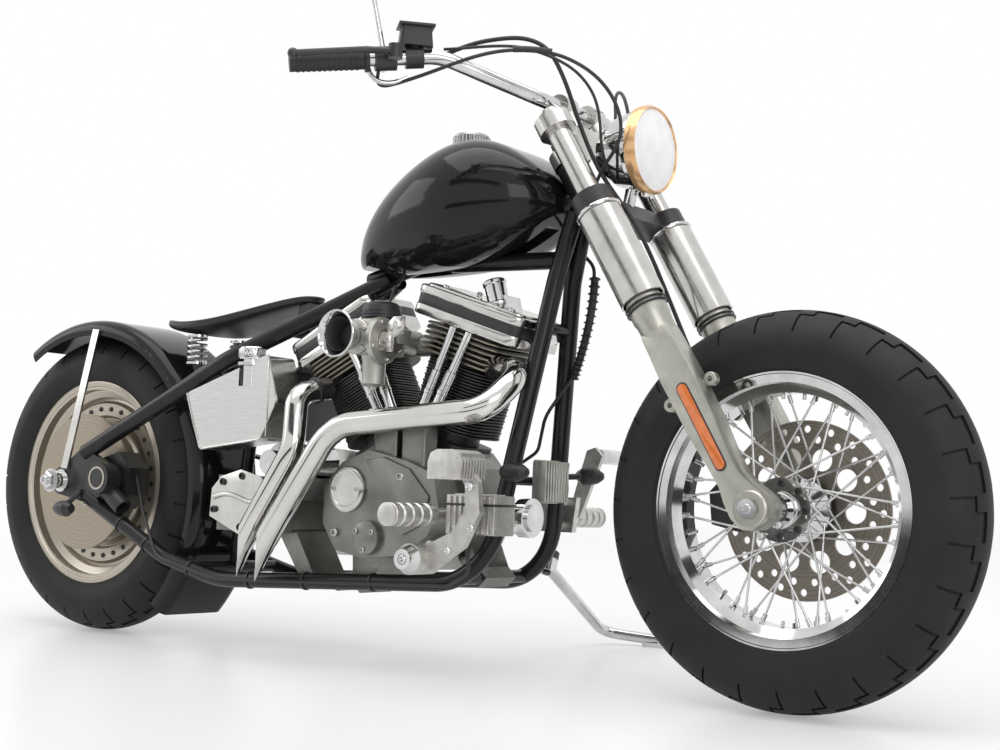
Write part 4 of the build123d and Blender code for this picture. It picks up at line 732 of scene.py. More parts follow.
def rod(name: str, start: Place, end: Place, radius: float, edge: float = 0.6,
        steps: int = 20) -> bpy.types.Object:
    """A round bar between two points.

    Args:
        name: the object's name.
        start: the middle of one end.
        end: the middle of the other.
        radius: of the bar.
        edge: width of the bevels round its ends.
        steps: sides of the bar.

    Returns:
        The new object.
    """
    a, b = Vector(start), Vector(end)
    length = (b - a).length
    profile = [
        (0.0, 0.0), (0.0, radius - edge), (edge, radius),
        (length - edge, radius), (length, radius - edge), (length, 0.0),
    ]
    return turned(name, profile, a, b - a, steps)


def bolt(name: str, seat_point: Place, axis: Place, radius: float, height: float,
         socket: bool = True) -> bpy.types.Object:
    """A bolt head: a round one with a recess or a plain hexagon.

    Args:
        name: the object's name.
        seat_point: where its underside sits.
        axis: the way it faces.
        radius: of its head.
        height: of its head.
        socket: round with a socket, or else a hexagon.

    Returns:
        The new object.
    """
    edge = radius * 0.18
    profile = [(0.0, 0.0), (0.0, radius), (height - edge, radius), (height, radius - edge)]
    if socket:
        floor = height * 0.4
        profile += [(height, radius * 0.55), (floor, radius * 0.5), (floor, 0.0)]
    else:
        profile.append((height, 0.0))
    return turned(name, profile, seat_point, axis, 14 if socket else 6)


def bolts(name: str, places: list, axis: Place, radius: float, height: float) -> list:
    """Round bolt heads of one kind that face the same way.

    Args:
        name: the name of each.
        places: where their undersides sit.
        axis: the way they face.
        radius: of each head.
        height: of each head.

    Returns:
        The new objects.
    """
    return [bolt(name, place, axis, radius, height) for place in places]


def on_circle(centre: Place, first: Vector, second: Vector, radius: float,
              angles: tuple) -> list:
    """Points on a circle.

    Args:
        centre: its middle.
        first: the direction of angle zero.
        second: the direction of a quarter turn.
        radius: of the circle.
        angles: of the points, in radians.

    Returns:
        The points.
    """
    return [Vector(centre) + (first * math.cos(t) + second * math.sin(t)) * radius
            for t in angles]


def bent_route(points: list, bends: list, steps: int = 14) -> list:
    """Points of straight runs joined by round bends.

    Args:
        points: the corners of the route.
        bends: the bend radius at each inner corner.
        steps: points on each bend.

    Returns:
        The route's points.
    """
    corners = [Vector(p) for p in points]
    route = [corners[0]]
    for before, corner, after, radius in zip(corners, corners[1:], corners[2:], bends):
        back, on = (before - corner).normalized(), (after - corner).normalized()
        half = back.angle(on) / 2
        middle = corner + (back + on).normalized() * radius / math.sin(half)
        first = corner + back * radius / math.tan(half) - middle
        last = corner + on * radius / math.tan(half) - middle
        for i in range(steps + 1):
            route.append(middle + first.slerp(last, i / steps).normalized() * radius)
    return [*route, corners[-1]]


def piped(name: str, points: list, radius: float, steps: int = 10, sides: int = 3,
          smooth: bool = True) -> bpy.types.Object:
    """A round tube or cable along a route.

    Args:
        name: the object's name.
        points: the route's control points.
        radius: of the tube.
        steps: curve steps between points.
        sides: how finely each quarter of the tube's section is cut.
        smooth: a flowing route with closed ends, or else one straight from point to point.

    Returns:
        The new object.
    """
    data = bpy.data.curves.new(name, "CURVE")
    data.dimensions = "3D"
    data.resolution_u = steps
    data.bevel_depth = radius
    data.bevel_resolution = sides
    data.use_fill_caps = smooth
    path = data.splines.new("NURBS" if smooth else "POLY")
    path.points.add(len(points) - 1)
    for spot, point in zip(path.points, points):
        spot.co = (*point, 1.0)
    if smooth:
        path.order_u = min(4, len(points))
        path.use_endpoint_u = True
    holder = bpy.data.objects.new(name, data)
    bpy.context.scene.collection.objects.link(holder)
    activate(holder)
    bpy.ops.object.convert(target="MESH")
    return edited(bpy.context.object, tidy_mesh)


def joined(name: str, parts: list) -> bpy.types.Object:
    """Join objects into one.

    Args:
        name: its name.
        parts: the objects.

    Returns:
        The joined object.
    """
    clear_selection()
    for part in parts:
        part.select_set(True)
    bpy.context.view_layer.objects.active = parts[0]
    if len(parts) > 1:
        bpy.ops.object.join()
    made = bpy.context.object
    made.name = name
    return made


def ringed(obj: bpy.types.Object, count: int, centre: Place, axis: Place,
           first: float = 0.0) -> list:
    """Copies of an object evenly round an axis, each with its own mesh.

    Args:
        obj: the object, which becomes the first of them.
        count: how many there are in all.
        centre: a point of the axis.
        axis: its direction.
        first: the angle that the first one is turned by.

    Returns:
        All of them.
    """
    to, back = Matrix.Translation(Vector(centre)), Matrix.Translation(-Vector(centre))
    step = 2 * math.pi / count
    turns = [to @ Matrix.Rotation(first + step * i, 4, Vector(axis)) @ back for i in range(count)]
    made = [obj]
    for turn in turns[1:]:
        copy = bpy.data.objects.new(obj.name, obj.data.copy())
        copy.data.transform(turn)
        bpy.context.scene.collection.objects.link(copy)
        made.append(copy)
    obj.data.transform(turns[0])
    return made


def dress(obj: bpy.types.Object, finish: Finish, body: Body = Body.CHASSIS,
          replaces: tuple = (), smooth: float = 40.0) -> bpy.types.Object:
    """Lean a finished piece over with the motorcycle, and give it its finish and body.

    Args:
        obj: the piece, drawn on the upright motorcycle.
        finish: its finish.
        body: the body that carries it.
        replaces: CAD nodes that it stands for.
        smooth: edges flatter than this are shaded smooth, in degrees.

    Returns:
        The piece.
    """
    obj.data.transform(obj.matrix_world)
    obj.matrix_world = Matrix.Identity(4)
    obj.data.transform(PARK_MM)
    obj.data.materials.clear()
    obj.data.materials.append(finish.material())
    activate(obj)
    bpy.ops.object.shade_smooth_by_angle(angle=math.radians(smooth))
    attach(obj, body.value)
    if replaces:
        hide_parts(*replaces)
    LOG.info("%s: %d faces", obj.name, len(obj.data.polygons))
    return obj


def fit(name: str, parts: list, *dressing, **more) -> bpy.types.Object:
    """Join parts into one piece and dress it.

    Args:
        name: the piece's name.
        parts: the objects.
        dressing: what dress needs after the piece.
        more: more of the same, by name.

    Returns:
        The piece.
    """
    return dress(joined(name, parts), *dressing, **more)


@dataclass
class Tyre:
    """A road tyre with moulded shoulder grooves."""

    node: str
    body: Body
    centre_x: float
    half_width: float
    radius: float = 320.0
    bead_radius: float = 206.0
    bead_half: float = 49.0
    around: int = 432
    across: int = 40
    groove: float = 3.6
    pitches: int = 27
    # (share of a pitch, from, to): up to that share, a groove runs between these angles.
    pattern: tuple = ((0.56, 15, 20.5), (0.63, 15, 38), (0.86, 33, 38), (0.93, 33, 68))

    def build(self) -> None:
        """Spin the section, press the grooves in and dress it."""
        made = turned(self.node + "_carcass", self._section(), self._centre(), ACROSS, self.around)
        self._groove(made)
        dress(made, TYRE, self.body, (self.node,), smooth=50)

    def _centre(self) -> Vector:
        """Middle of the wheel."""
        return Vector((self.centre_x, 0, AXLE_UP))

    def _section(self) -> list:
        """The tyre's section as (along, radius) corners."""
        shoulder = self.radius - self.half_width
        crown = []
        for i in range(self.across + 1):
            turn = math.pi * i / self.across
            rise = self.half_width * math.sin(turn)
            crown.append((-self.half_width * math.cos(turn), shoulder + rise))
        bead = self.bead_half
        wall = [
            (bead + 7, 222), (bead + 1, 219.5), (bead - 1, 214), (bead - 4, self.bead_radius),
            (bead - 12, self.bead_radius), (bead - 10, 226), (self.half_width - 12, shoulder),
        ]
        other = [(-along, reach) for along, reach in reversed(wall)]
        return [*crown, *wall, (0, self.radius - 14), *other]

    def _is_groove(self, around: float, across: float) -> bool:
        """Whether a spot on the tread lies in a groove.

        Args:
            around: angle round the wheel, in pitches.
            across: angle across the section from the crown, in degrees.

        Returns:
            True inside a groove.
        """
        step = (around + (0 if across > 0 else 0.5)) % 1
        for share, near, far in self.pattern:
            if step < share:
                return near < abs(across) < far
        return False

    def _groove(self, made: bpy.types.Object) -> None:
        """Press every groove in by its depth."""
        made.data.vertices.foreach_set("select", [False] * len(made.data.vertices))
        made.data.edges.foreach_set("select", [False] * len(made.data.edges))
        middle = self._centre()
        shoulder = self.radius - self.half_width
        for face in made.data.polygons:
            spot = face.center - middle
            reach = math.hypot(spot.x, spot.z)
            outer = math.hypot(reach - shoulder, spot.y) > self.half_width - 2 and reach > shoulder
            around = math.atan2(spot.z, spot.x) / (2 * math.pi) * self.pitches
            across = math.degrees(math.atan2(spot.y, reach - shoulder))
            along = self._is_groove(around, across)
            cross = (around * 2 + 0.4) % 1 < 0.08 and 44 < abs(across) < 64
            face.select = outer and (along or cross)
        activate(made)
        bpy.context.tool_settings.mesh_select_mode = (False, False, True)
        bpy.ops.object.mode_set(mode="EDIT")
        bpy.ops.mesh.extrude_region_shrink_fatten(
            TRANSFORM_OT_shrink_fatten={"value": -self.groove}
        )
        bpy.ops.mesh.select_mode(type="VERT")
        bpy.ops.object.mode_set(mode="OBJECT")


@dataclass
class HeadlampGlass:
    """The lamp's amber rim, its fluted lens and the small screws below it."""

    centre: Point = (1352, 0, 928)
    rim: float = 76.5
    lens: float = 72.0
    flutes: int = 28
    fluted: float = 64.0
    bulge: float = 10.5

    def build(self) -> None:
        """Rim, lens and screws."""
        rim = turned("lamp_rim", [
            (-13, self.rim - 4), (-11, self.rim), (2, self.rim + 0.5), (8, self.rim - 3),
            (9, self.lens + 1), (5, self.lens - 2), (2, self.lens - 2), (2, self.rim - 5),
        ], self.centre, X_AXIS, 72)
        dress(rim, AMBER_RIM, Body.STEERING)
        bowl = [(19.5, 0), (18.5, 22), (14.6, 44), (9, 64), (4.5, self.lens),
                (3, self.lens), (6.5, 62), (16.5, 22), (17.5, 0)]
        # lens and flutes carry the painted reflection of the LENS finish
        glass = turned("lamp_lens", bowl, self.centre, X_AXIS, 64)
        dress(glass, LENS, Body.STEERING)
        ribs = []
        front, _, middle = self.centre
        for i in range(self.flutes):
            y = -62 + 124 * i / (self.flutes - 1)
            high = math.sqrt(max(self.fluted ** 2 - y * y, self.fluted))
            x = front + 19.6 - self.bulge * (y / self.fluted) ** 2
            end = x - self.bulge * (high / self.fluted) ** 2
            ribs.append(piped("flute", [
                (end, y, middle - high), (x + 0.6, y, middle - high * 0.35),
                (x + 0.6, y, middle + high * 0.35), (end, y, middle + high),
            ], 0.8, 6, 1))
        fit("lamp_flutes", ribs, LENS, Body.STEERING)
        seats = [(front - 4, y, middle - 80) for y in (-9, 9)]
        tabs = bolts("lamp_screw", seats, -Z_AXIS, 5, 4)
        tabs.append(slab("lamp_tab", upright(1340, 846, 1352, 856), -12, 12, 2))
        fit("lamp_screws", tabs, CHROME, Body.STEERING)


@dataclass
class ForkLeg:
    """Castings, reflector, clips and clamp bolts on one fork leg."""

    side: int
    spread: float = 120.0
    ahead: float = 58.0
    boss_in: float = 88.0
    boss_out: float = 149.0
    lug_up: float = 218.0
    reflector_up: float = 152.0

    def build(self) -> None:
        """All the pieces of one leg."""
        name = "left" if self.side > 0 else "right"
        y = self.side * self.spread
        dress(self._casting(name, y), SLIDER_CAST, Body.STEERING)
        self._reflector(name)
        wires = [self._ring(name + "_clip", y, up, 34.4, 1.8) for up in (376, 383)]
        fit(name + "_can_clips", wires, SATIN_BLACK, Body.STEERING)
        collar = self._ring(name + "_can_lip", y, 569, 37, 3.2)
        dress(collar, CHROME, Body.STEERING)
        seats = [fork_mm(self.ahead + 13 + a, y - self.side * 6, -34) for a in (-17, 17)]
        heads = bolts("clamp_bolt", seats, -FORK_UP, 6.5, 8)
        outward = ACROSS * self.side
        end = FRONT_AXLE + outward * self.boss_out
        heads.append(bolt("axle_end", end, outward, 15, 8, socket=False))
        heads.append(bolt("axle_core", end + outward * 7, outward, 8, 4))
        fit(name + "_axle_bolts", heads, CHROME, Body.STEERING)
        nut = turned(name + "_fork_cap", [
            (0, 0), (0, 22), (5, 22), (6, 17), (14, 16.5), (16, 14), (16, 0),
        ], fork_mm(self.ahead, y, 767), FORK_UP, 32)
        dress(nut, CHROME, Body.STEERING)

    def _casting(self, name: str, y: float) -> bpy.types.Object:
        """The flat-sided casting round the lower leg, with its axle boss and fender lugs.

        Args:
            name: the side's name.
            y: the leg's middle plane.

        Returns:
            The slider.
        """
        outline = [
            (-26, 336), (-27, 300), (-30, 250), (-28, 150), (-23, 92), (-21, 56), (-26, 30),
            (-27, 4), (-20, -20), (0, -32), (26, -30), (42, -10), (42, 14), (32, 34), (24, 60),
            (24, 100), (29, 160), (30, 250), (28, 300), (26, 336),
        ]
        half = 24.5
        corners = [fork_mm(self.ahead + a, y - half, up) for a, up in outline]
        parts = [prism(name + "_casting", corners, ACROSS * 2 * half, 8)]
        parts.append(turned("neck", [
            (322, 0), (322, 25), (330, 29), (352, 30), (358, 32), (388, 32), (396, 30), (409, 30),
            (409, 0),
        ], fork_mm(self.ahead, y, 0), FORK_UP))
        outward = ACROSS * self.side
        ends = FRONT_AXLE + outward * self.boss_in, FRONT_AXLE + outward * self.boss_out
        parts.append(rod("boss", *ends, 28.5, 2.5, 40))
        for ahead in (-1, 1):
            eye = fork_mm(self.ahead + ahead * 41, 0, self.lug_up)
            near = Vector((eye.x, self.side * 106, eye.z))
            ring = [(0, 4.3), (0, 10), (1, 11), (13, 11), (14, 10), (14, 4.3)]
            parts.append(turned("lug", ring, near, outward, 28))
            foot = fork_mm(self.ahead + ahead * 24, self.side * 113, self.lug_up)
            tip = Vector((eye.x, self.side * 113, eye.z))
            parts.append(rod("lug_arm", foot, tip + (foot - tip).normalized() * 8, 6.5))
        return joined(name + "_slider", parts)

    def _ring(self, name: str, y: float, up: float, radius: float,
              wire: float) -> bpy.types.Object:
        """A round clip about the leg.

        Args:
            name: its name.
            y: the leg's middle plane.
            up: its height along the fork.
            radius: from the leg's axis to the wire's middle.
            wire: the wire's radius.

        Returns:
            The clip.
        """
        turns = [i * math.pi / 4 for i in range(8)]
        profile = [(wire * math.cos(t), radius + wire * math.sin(t)) for t in turns]
        return turned(name, profile, fork_mm(self.ahead, y, up), FORK_UP, 48)

    def _reflector(self, name: str) -> None:
        """A long amber reflector in a dark frame on the casting's outer face.

        Args:
            name: the side's name.
        """
        for piece, half, long, lift, finish in (
            ("frame", 10.5, 79, 1.6, SATIN_BLACK), ("reflector", 8.5, 76, 3, AMBER_LENS),
        ):
            corners = []
            for end in (1, -1):
                for i in range(9):
                    turn = math.pi * i / 8
                    ahead = self.ahead + 2 + end * half * math.cos(turn)
                    up = self.reflector_up + end * (long - half + half * math.sin(turn))
                    corners.append(fork_mm(ahead, self.side * (self.spread + 24.2), up))
            made = prism(name + "_" + piece, corners, ACROSS * self.side * lift, 0.5)
            dress(made, finish, Body.STEERING)


@dataclass
class Cylinder:
    """One cylinder's fins and rocker box."""

    name: str
    lean: float
    box_length: float
    apex: Point = (888, 0, 250)
    fin: float = 3.2
    head_foot: float = 332.5
    head_step: float = 9.6
    head_fins: int = 6
    barrel_foot: float = 206.0
    barrel_step: float = 11.5
    barrel_fins: int = 11

    def _at(self, along: float, ahead: float, left: float) -> Vector:
        """A point on the cylinder.

        Args:
            along: from the crank, up the cylinder.
            ahead: square to it, forward.
            left: to the rider's left.

        Returns:
            The point.
        """
        tilt = math.radians(self.lean)
        up = Vector((math.sin(tilt), 0, math.cos(tilt)))
        forward = Vector((math.cos(tilt), 0, -math.sin(tilt)))
        return Vector(self.apex) + up * along + forward * ahead + ACROSS * left

    def _up(self) -> Vector:
        """Direction up the cylinder."""
        return self._at(1, 0, 0) - self._at(0, 0, 0)

    def plate(self, along: float, thick: float, length: float, width: float, corner: float,
              bevel: float) -> bpy.types.Object:
        """A plate with round corners across the cylinder.

        Args:
            along: the height of its underside along the cylinder.
            thick: its thickness.
            length: its size from front to back.
            width: its size from side to side.
            corner: the radius of its corners.
            bevel: width of its rounded edges.

        Returns:
            The plate.
        """
        corners = []
        for sx, sy, first in ((1, 1, 0), (-1, 1, 90), (-1, -1, 180), (1, -1, 270)):
            for i in range(6):
                turn = math.radians(first + 18 * i)
                corners.append(self._at(
                    along,
                    sx * (length / 2 - corner) + corner * math.cos(turn),
                    sy * (width / 2 - corner) + corner * math.sin(turn),
                ))
        return prism("plate", corners, self._up() * thick, bevel)

    def build(self) -> None:
        """Head fins, barrel fins and the layers of the rocker box."""
        fins = [self.plate(self.head_foot + self.head_step * i, self.fin, 178, 152, 30, 1)
                for i in range(self.head_fins)]
        fit(self.name + "_head_fins", fins, HEAD_IRON)
        fins = [self.plate(self.barrel_foot + self.barrel_step * i, self.fin, 148, 142, 44, 1)
                for i in range(self.barrel_fins)]
        fit(self.name + "_barrel_fins", fins, BARREL_BLACK)
        length = self.box_length
        layers = [
            self.plate(390, 20, length, 152, 22, 3),
            self.plate(428, 17, length + 1, 153, 22, 4),
            self.plate(442, 8, length - 18, 134, 20, 3.5),
        ]
        fit(self.name + "_rocker_covers", layers, POLISHED)
        band = self.plate(408, 22, length - 3, 149, 21, 1)
        fit(self.name + "_rocker_gaskets", [band], SATIN_BLACK)
        seats = [self._at(449.5, ahead * length, left)
                 for ahead in (-0.3, 0.02, 0.34) for left in (-52, 52)]
        fit(self.name + "_cover_bolts", bolts("cover_bolt", seats, self._up(), 6, 5), CHROME)


def build_engine_tops() -> None:
    """Both cylinders; their rocker boxes stand for the plain CAD ones."""
    Cylinder("front_cylinder", 18, 246).build()
    Cylinder("rear_cylinder", -27, 220).build()
    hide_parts("rocker_boxes")


@dataclass
class Intake:
    """Carburettor castings, slide cap, bowl, bracket and the chrome horn."""

    body_x: float = 856.0
    horn_x: float = 829.0
    height: float = 604.0
    horn_y: float = -172.0
    bowl_y: float = -128.0
    cap_y: float = -112.0

    def build(self) -> None:
        """All of the intake outside the engine."""
        x, z = self.body_x, self.height
        horn = turned("intake_horn", [
            (-28, 24), (-22, 24.5), (0, 27.5), (24, 35.5), (33, 42), (34.5, 43.5),
            (36, 42.5), (36, 40), (24, 32), (0, 25), (-28, 21.5),
        ], (self.horn_x, self.horn_y, z), -ACROSS, 64)
        dress(horn, CHROME)
        # a dark plug filling the horn's bore: painted shade standing for the deep, unlit throat of
        # the carburettor
        throat = turned("horn_throat_shade", [
            (-10, 0), (-10, 23), (26, 31.6), (24, 30), (-6, 20), (-6, 0),
        ], (self.horn_x, self.horn_y, z), -ACROSS, 48)
        dress(throat, SATIN_BLACK)
        parts = [
            slab("body", [(x - 30, z - 34), (x - 34, z), (x - 26, z + 34), (x + 26, z + 36),
                          (x + 33, z + 8), (x + 30, z - 34)], -147, -78, 5),
            slab("ear", [(x + 22, z - 20), (x + 58, z - 16), (x + 62, z + 14), (x + 22, z + 22)],
                 -138, -96, 4),
            turned("flange", [(0, 0), (0, 31), (2, 33), (8, 33), (10, 31), (10, 0)],
                   (self.horn_x, -143, z), -ACROSS, 36),
            turned("bowl", [(0, 0), (0, 17), (4, 21), (46, 22), (56, 25), (56, 0)],
                   (x, self.bowl_y, z - 90), Z_AXIS, 32),
            turned("throttle_flange", [(-6, 0), (-6, 41), (-4, 43), (4, 43), (6, 41), (6, 0)],
                   (882, -138, z - 8), X_AXIS, 40),
            turned("bowl_plug", [(0, 0), (0, 6), (8, 7), (8, 0)],
                   (x, self.bowl_y, z - 97), Z_AXIS, 6),
            rod("choke", (x - 44, -132, z + 18), (x - 26, -132, z + 18), 7),
            rod("throttle_drum", (x + 30, -150, z - 12), (x + 30, -128, z - 12), 16, 1.5),
        ]
        fit("carburettor_castings", parts, CAST, replaces=("carburettor",))
        cap = [turned("cap", [
            (0, 0), (0, 38), (3, 38), (3, 36), (6, 36), (6, 38), (10, 38), (10, 36), (13, 36),
            (13, 37), (24, 34), (29, 26), (29, 0),
        ], (x, self.cap_y, z + 36), Z_AXIS, 48)]
        seats = on_circle((x, self.cap_y, z + 57), X_AXIS, ACROSS, 31, (0.8, 2.4, 3.9, 5.5))
        cap += bolts("cap_screw", seats, Z_AXIS, 3, 3)
        fit("slide_cap", cap, PLASTIC)
        runner = rod("intake_runner", (x, -78, z), (x, -8, z), 23, 1, 28)
        cross = rod("intake_manifold", (802, -8, 600), (916, -8, 600), 21, 1, 28)
        fit("intake_pipes", [runner, cross], CAST)
        plate = [
            slab("bracket", [(x + 46, z - 30), (x + 46, z + 22), (x + 60, z + 34), (x + 84, z + 34),
                             (x + 84, z + 4), (x + 62, z - 4), (x + 60, z - 30)], -150, -145, 1),
            bolt("bracket_bolt", (x + 72, -150, z + 19), -ACROSS, 8.5, 8, socket=False),
            bolt("drum_bolt", (x + 30, -150, z - 12), -ACROSS, 6, 6),
        ]
        seats = on_circle((self.horn_x, -152.8, z), X_AXIS, Z_AXIS, 27, (0.6, 2.2, 3.8, 5.4))
        plate += bolts("flange_bolt", seats, -ACROSS, 4, 3.5)
        seats = on_circle((888, -138, z - 8), ACROSS, Z_AXIS, 35, (0.4, 1.9, 3.5, 5))
        plate += bolts("flange_screw", seats, X_AXIS, 4.5, 4)
        plate.append(rod("throttle_body", (888, -134, z - 8), (914, -134, z - 8), 22, 2, 32))
        fit("intake_bracket", plate, POLISHED)


@dataclass
class BottomEnd:
    """Covers and bolts on the crankcase and the gearbox, and the pushrod tubes' collars."""

    cam_face: float = -138.0
    gearbox_face: float = -112.0
    timing: Pair = (816, 326)
    oil_filter: Pair = (868, 240)

    def build(self) -> None:
        """Crankcase, gearbox and pushrod tube fittings."""
        x, z = self.timing
        disc = turned("timing_disc", [
            (0, 0), (0, 42), (6, 42), (8.5, 39), (8.5, 32), (7.6, 31), (7.6, 0),
        ], (x, -139, z), -ACROSS, 56)
        dress(disc, POLISHED)
        heads = bolts("timing_screw", [(x + to, -146.4, z) for to in (-27, 27)], -ACROSS, 4, 2.5)
        seats = [(x, self.cam_face, z) for x, z in ((940, 352), (790, 246), (1002, 286))]
        heads += bolts("cam_bolt", seats, -ACROSS, 8, 7)
        x, z = self.oil_filter
        seats = on_circle((x, -149, z), X_AXIS, Z_AXIS, 22, (0.5, 2.6, 4.7))
        heads += bolts("filter_bolt", seats, -ACROSS, 5, 5)
        fit("case_bolts", heads, STEEL)
        places = ((468, 331), (520, 343), (582, 318), (572, 262), (520, 244), (446, 276))
        seats = [(x, self.gearbox_face, z) for x, z in places]
        fit("gearbox_bolts", bolts("gearbox_bolt", seats, -ACROSS, 7, 6), SATIN_BLACK)
        cover = slab("gearbox_cover", [
            (462, 341), (515, 356), (570, 343), (597, 322), (589, 258), (518, 229), (434, 262),
            (437, 317),
        ], -111, -114, 1.5)
        rib = piped("gearbox_rib", [
            (446, -114, 300), (480, -114, 312), (516, -114, 300), (560, -114, 288),
            (584, -114, 300),
        ], 5)
        fit("gearbox_cover_polished", [cover, rib], POLISHED)
        boss = slab("cam_boss", [
            (858, 380), (900, 386), (960, 366), (1006, 318), (996, 270), (950, 248), (930, 262),
            (940, 300), (920, 330), (880, 350),
        ], -137, -143, 4)
        cap = turned("filter_cap", [
            (0, 0), (0, 31), (11, 31), (13, 28), (13, 0),
        ], (x, -137.5, z), -ACROSS)
        fit("cam_cover_bosses", [boss, cap], DARK_CAST)
        caps = []
        for foot_x, foot_z, head_x, head_z in (
            (936, 439, 1000, 626), (962, 439, 1038, 618),
            (868, 439, 742, 612), (896, 439, 786, 634),
        ):
            foot, head = Vector((foot_x, -100, foot_z)), Vector((head_x, -79, head_z))
            way = (head - foot).normalized()
            for share, radius, length in ((0, 12, 12), (0.34, 11, 9), (0.44, 10.6, 26)):
                start = foot + (head - foot) * share
                caps.append(rod("tube_collar", start, start + way * length, radius, 1.2, 24))
        fit("pushrod_collars", caps, CHROME)


@dataclass
class ExhaustTrim:
    """Two chrome drag pipes with slash-cut tips, and dark collars at their ports."""

    pipe: float = 22.2
    port: float = 25.5
    wall: float = 1.8
    slant: Point = (-0.74, -0.67, 0)
    cut_line: Pair = (-185, 300)

    def build(self) -> None:
        """Both pipes and the collars at their ports."""
        ports = ((1128, -73, 543), (1138, -80, 541)), ((697, -100, 511), (694, -110, 508))
        collars = [rod("port_collar", *ends, self.port, 2, 32) for ends in ports]
        fit("port_collars", collars, SATIN_BLACK)
        front = self._pipe("front_pipe", [
            (1072, -50, 552), (1168, -104, 536), (1140, -170, 468), (803, -175, 440),
            (560, -190, 78),
        ], [48, 52, 105], 638)
        rear = self._pipe("rear_pipe", [
            (700, -77, 515), (690, -150, 498), (702, -168, 396), (520, -187, 93),
        ], [36, 80], 590)
        fit("exhausts", [front, rear], PIPE_CHROME, replaces=("exhaust_pipes",), smooth=50)

    def _pipe(self, name: str, points: list, bends: list, cut: float) -> bpy.types.Object:
        """One bent pipe, cut off at a slant and given its wall.

        Args:
            name: the pipe's name.
            points: corners of its route.
            bends: the bend radius at each inner corner.
            cut: the X where its tip is cut.

        Returns:
            The pipe.
        """
        made = piped(name, bent_route(points, bends), self.pipe, 1, 5, smooth=False)
        tip = (cut, *self.cut_line)
        edited(made, lambda: bpy.ops.mesh.bisect(
            plane_co=tip, plane_no=self.slant, clear_outer=True, clear_inner=False
        ))
        return modified(made, "SOLIDIFY", thickness=self.wall, offset=-1)


@dataclass
class RearWheelTrim:
    """Holes drawn as dark discs of painted shade, rings and bolts on the rear wheel, and the nuts
    that hold its axle.
    """

    face: float = -23.2
    holes: int = 30
    hole_circle: float = 160.0
    disc_bolts: int = 5

    def build(self) -> None:
        """Wheel face and axle fittings."""
        # each hole is a flat black disc on the wheel's face: painted shade standing for the dark
        # inside of the hole
        hole = turned("hole", [(0, 0), (0, 5.2), (0.9, 5.2), (1.5, 4.2), (1.5, 0)],
                      (self.hole_circle, self.face, AXLE_UP), -ACROSS, 12)
        holes = ringed(hole, self.holes, REAR_AXLE, ACROSS)
        fit("rear_wheel_hole_shade", holes, SATIN_BLACK, Body.REAR_WHEEL)
        lip = turned("rear_rim_lip", [
            (44, 212), (44.5, 219), (50.5, 219), (51.5, 215.5), (50, 208), (46, 205),
        ], REAR_AXLE, -ACROSS, 96)
        dress(lip, CREAM, Body.REAR_WHEEL)
        ring = turned("rear_wheel_ring", [
            (11.5, 126), (11.5, 139), (13.6, 138), (13.6, 127),
        ], REAR_AXLE, -ACROSS, 80)
        dress(ring, REAR_DISC, Body.REAR_WHEEL)
        first = bolt("rear_disc_bolt", (48, -73.8, AXLE_UP), -ACROSS, 7, 6)
        heads = ringed(first, self.disc_bolts, REAR_AXLE, ACROSS)
        fit("rear_disc_bolts", heads, CHROME, Body.REAR_WHEEL)
        nuts = [
            bolt("axle_nut", (0, -161, AXLE_UP), -ACROSS, 19, 13, socket=False),
            turned("axle_washer", [(0, 0), (0, 25), (3, 25), (3, 0)],
                   (0, -158.5, AXLE_UP), -ACROSS, 32),
            bolt("axle_stud", (0, -173.5, AXLE_UP), -ACROSS, 10, 6),
            rod("adjuster", (-34, -150, AXLE_UP), (-20, -150, AXLE_UP), 5),
            bolt("adjuster_head", (-34, -150, AXLE_UP), -X_AXIS, 8, 7, socket=False),
        ]
        fit("rear_axle_nuts", nuts, CHROME)
        cap = turned("pivot_cap_ring", [
            (0, 20), (0, 24), (1.6, 24), (1.6, 20),
        ], (141, -155, 328), -ACROSS)
        dress(cap, CREAM)


@dataclass
class FrontWheelTrim:
    """Spoke nipples, hub holes drawn as dark discs of painted shade, and hub cap of the front
    wheel.
    """

    nipples: int = 40
    nipple_circle: float = 177.0
    offset: float = 4.5
    hub_hole_shade: int = 8
    hub_circle: float = 42.0

    def build(self) -> None:
        """Small fittings round the front wheel."""
        parts = []
        for side in (1, -1):
            place = FRONT_AXLE + Vector((self.nipple_circle, side * 9, 0))
            one = rod("nipple", place, place + X_AXIS * 10, 3.4, 0.6, 8)
            first = math.radians(side * self.offset)
            parts += ringed(one, self.nipples // 2, FRONT_AXLE, ACROSS, first)
        fit("spoke_nipples", parts, CHROME, Body.FRONT_WHEEL)
        # each hub hole is a shallow black socket on the hub: painted shade standing for the dark
        # inside of the hole
        seat = FRONT_AXLE + Vector((self.hub_circle, -40.6, 0))
        hole = bolt("hub_hole", seat, -ACROSS, 6.5, 2)
        holes = ringed(hole, self.hub_hole_shade, FRONT_AXLE, ACROSS)
        fit("hub_hole_shade", holes, SATIN_BLACK, Body.FRONT_WHEEL)
        flange = turned("hub_cap", [
            (40.4, 20), (40.4, 30), (46, 29), (47, 26), (47, 20),
        ], FRONT_AXLE, -ACROSS, 48)
        dress(flange, CHROME, Body.FRONT_WHEEL)


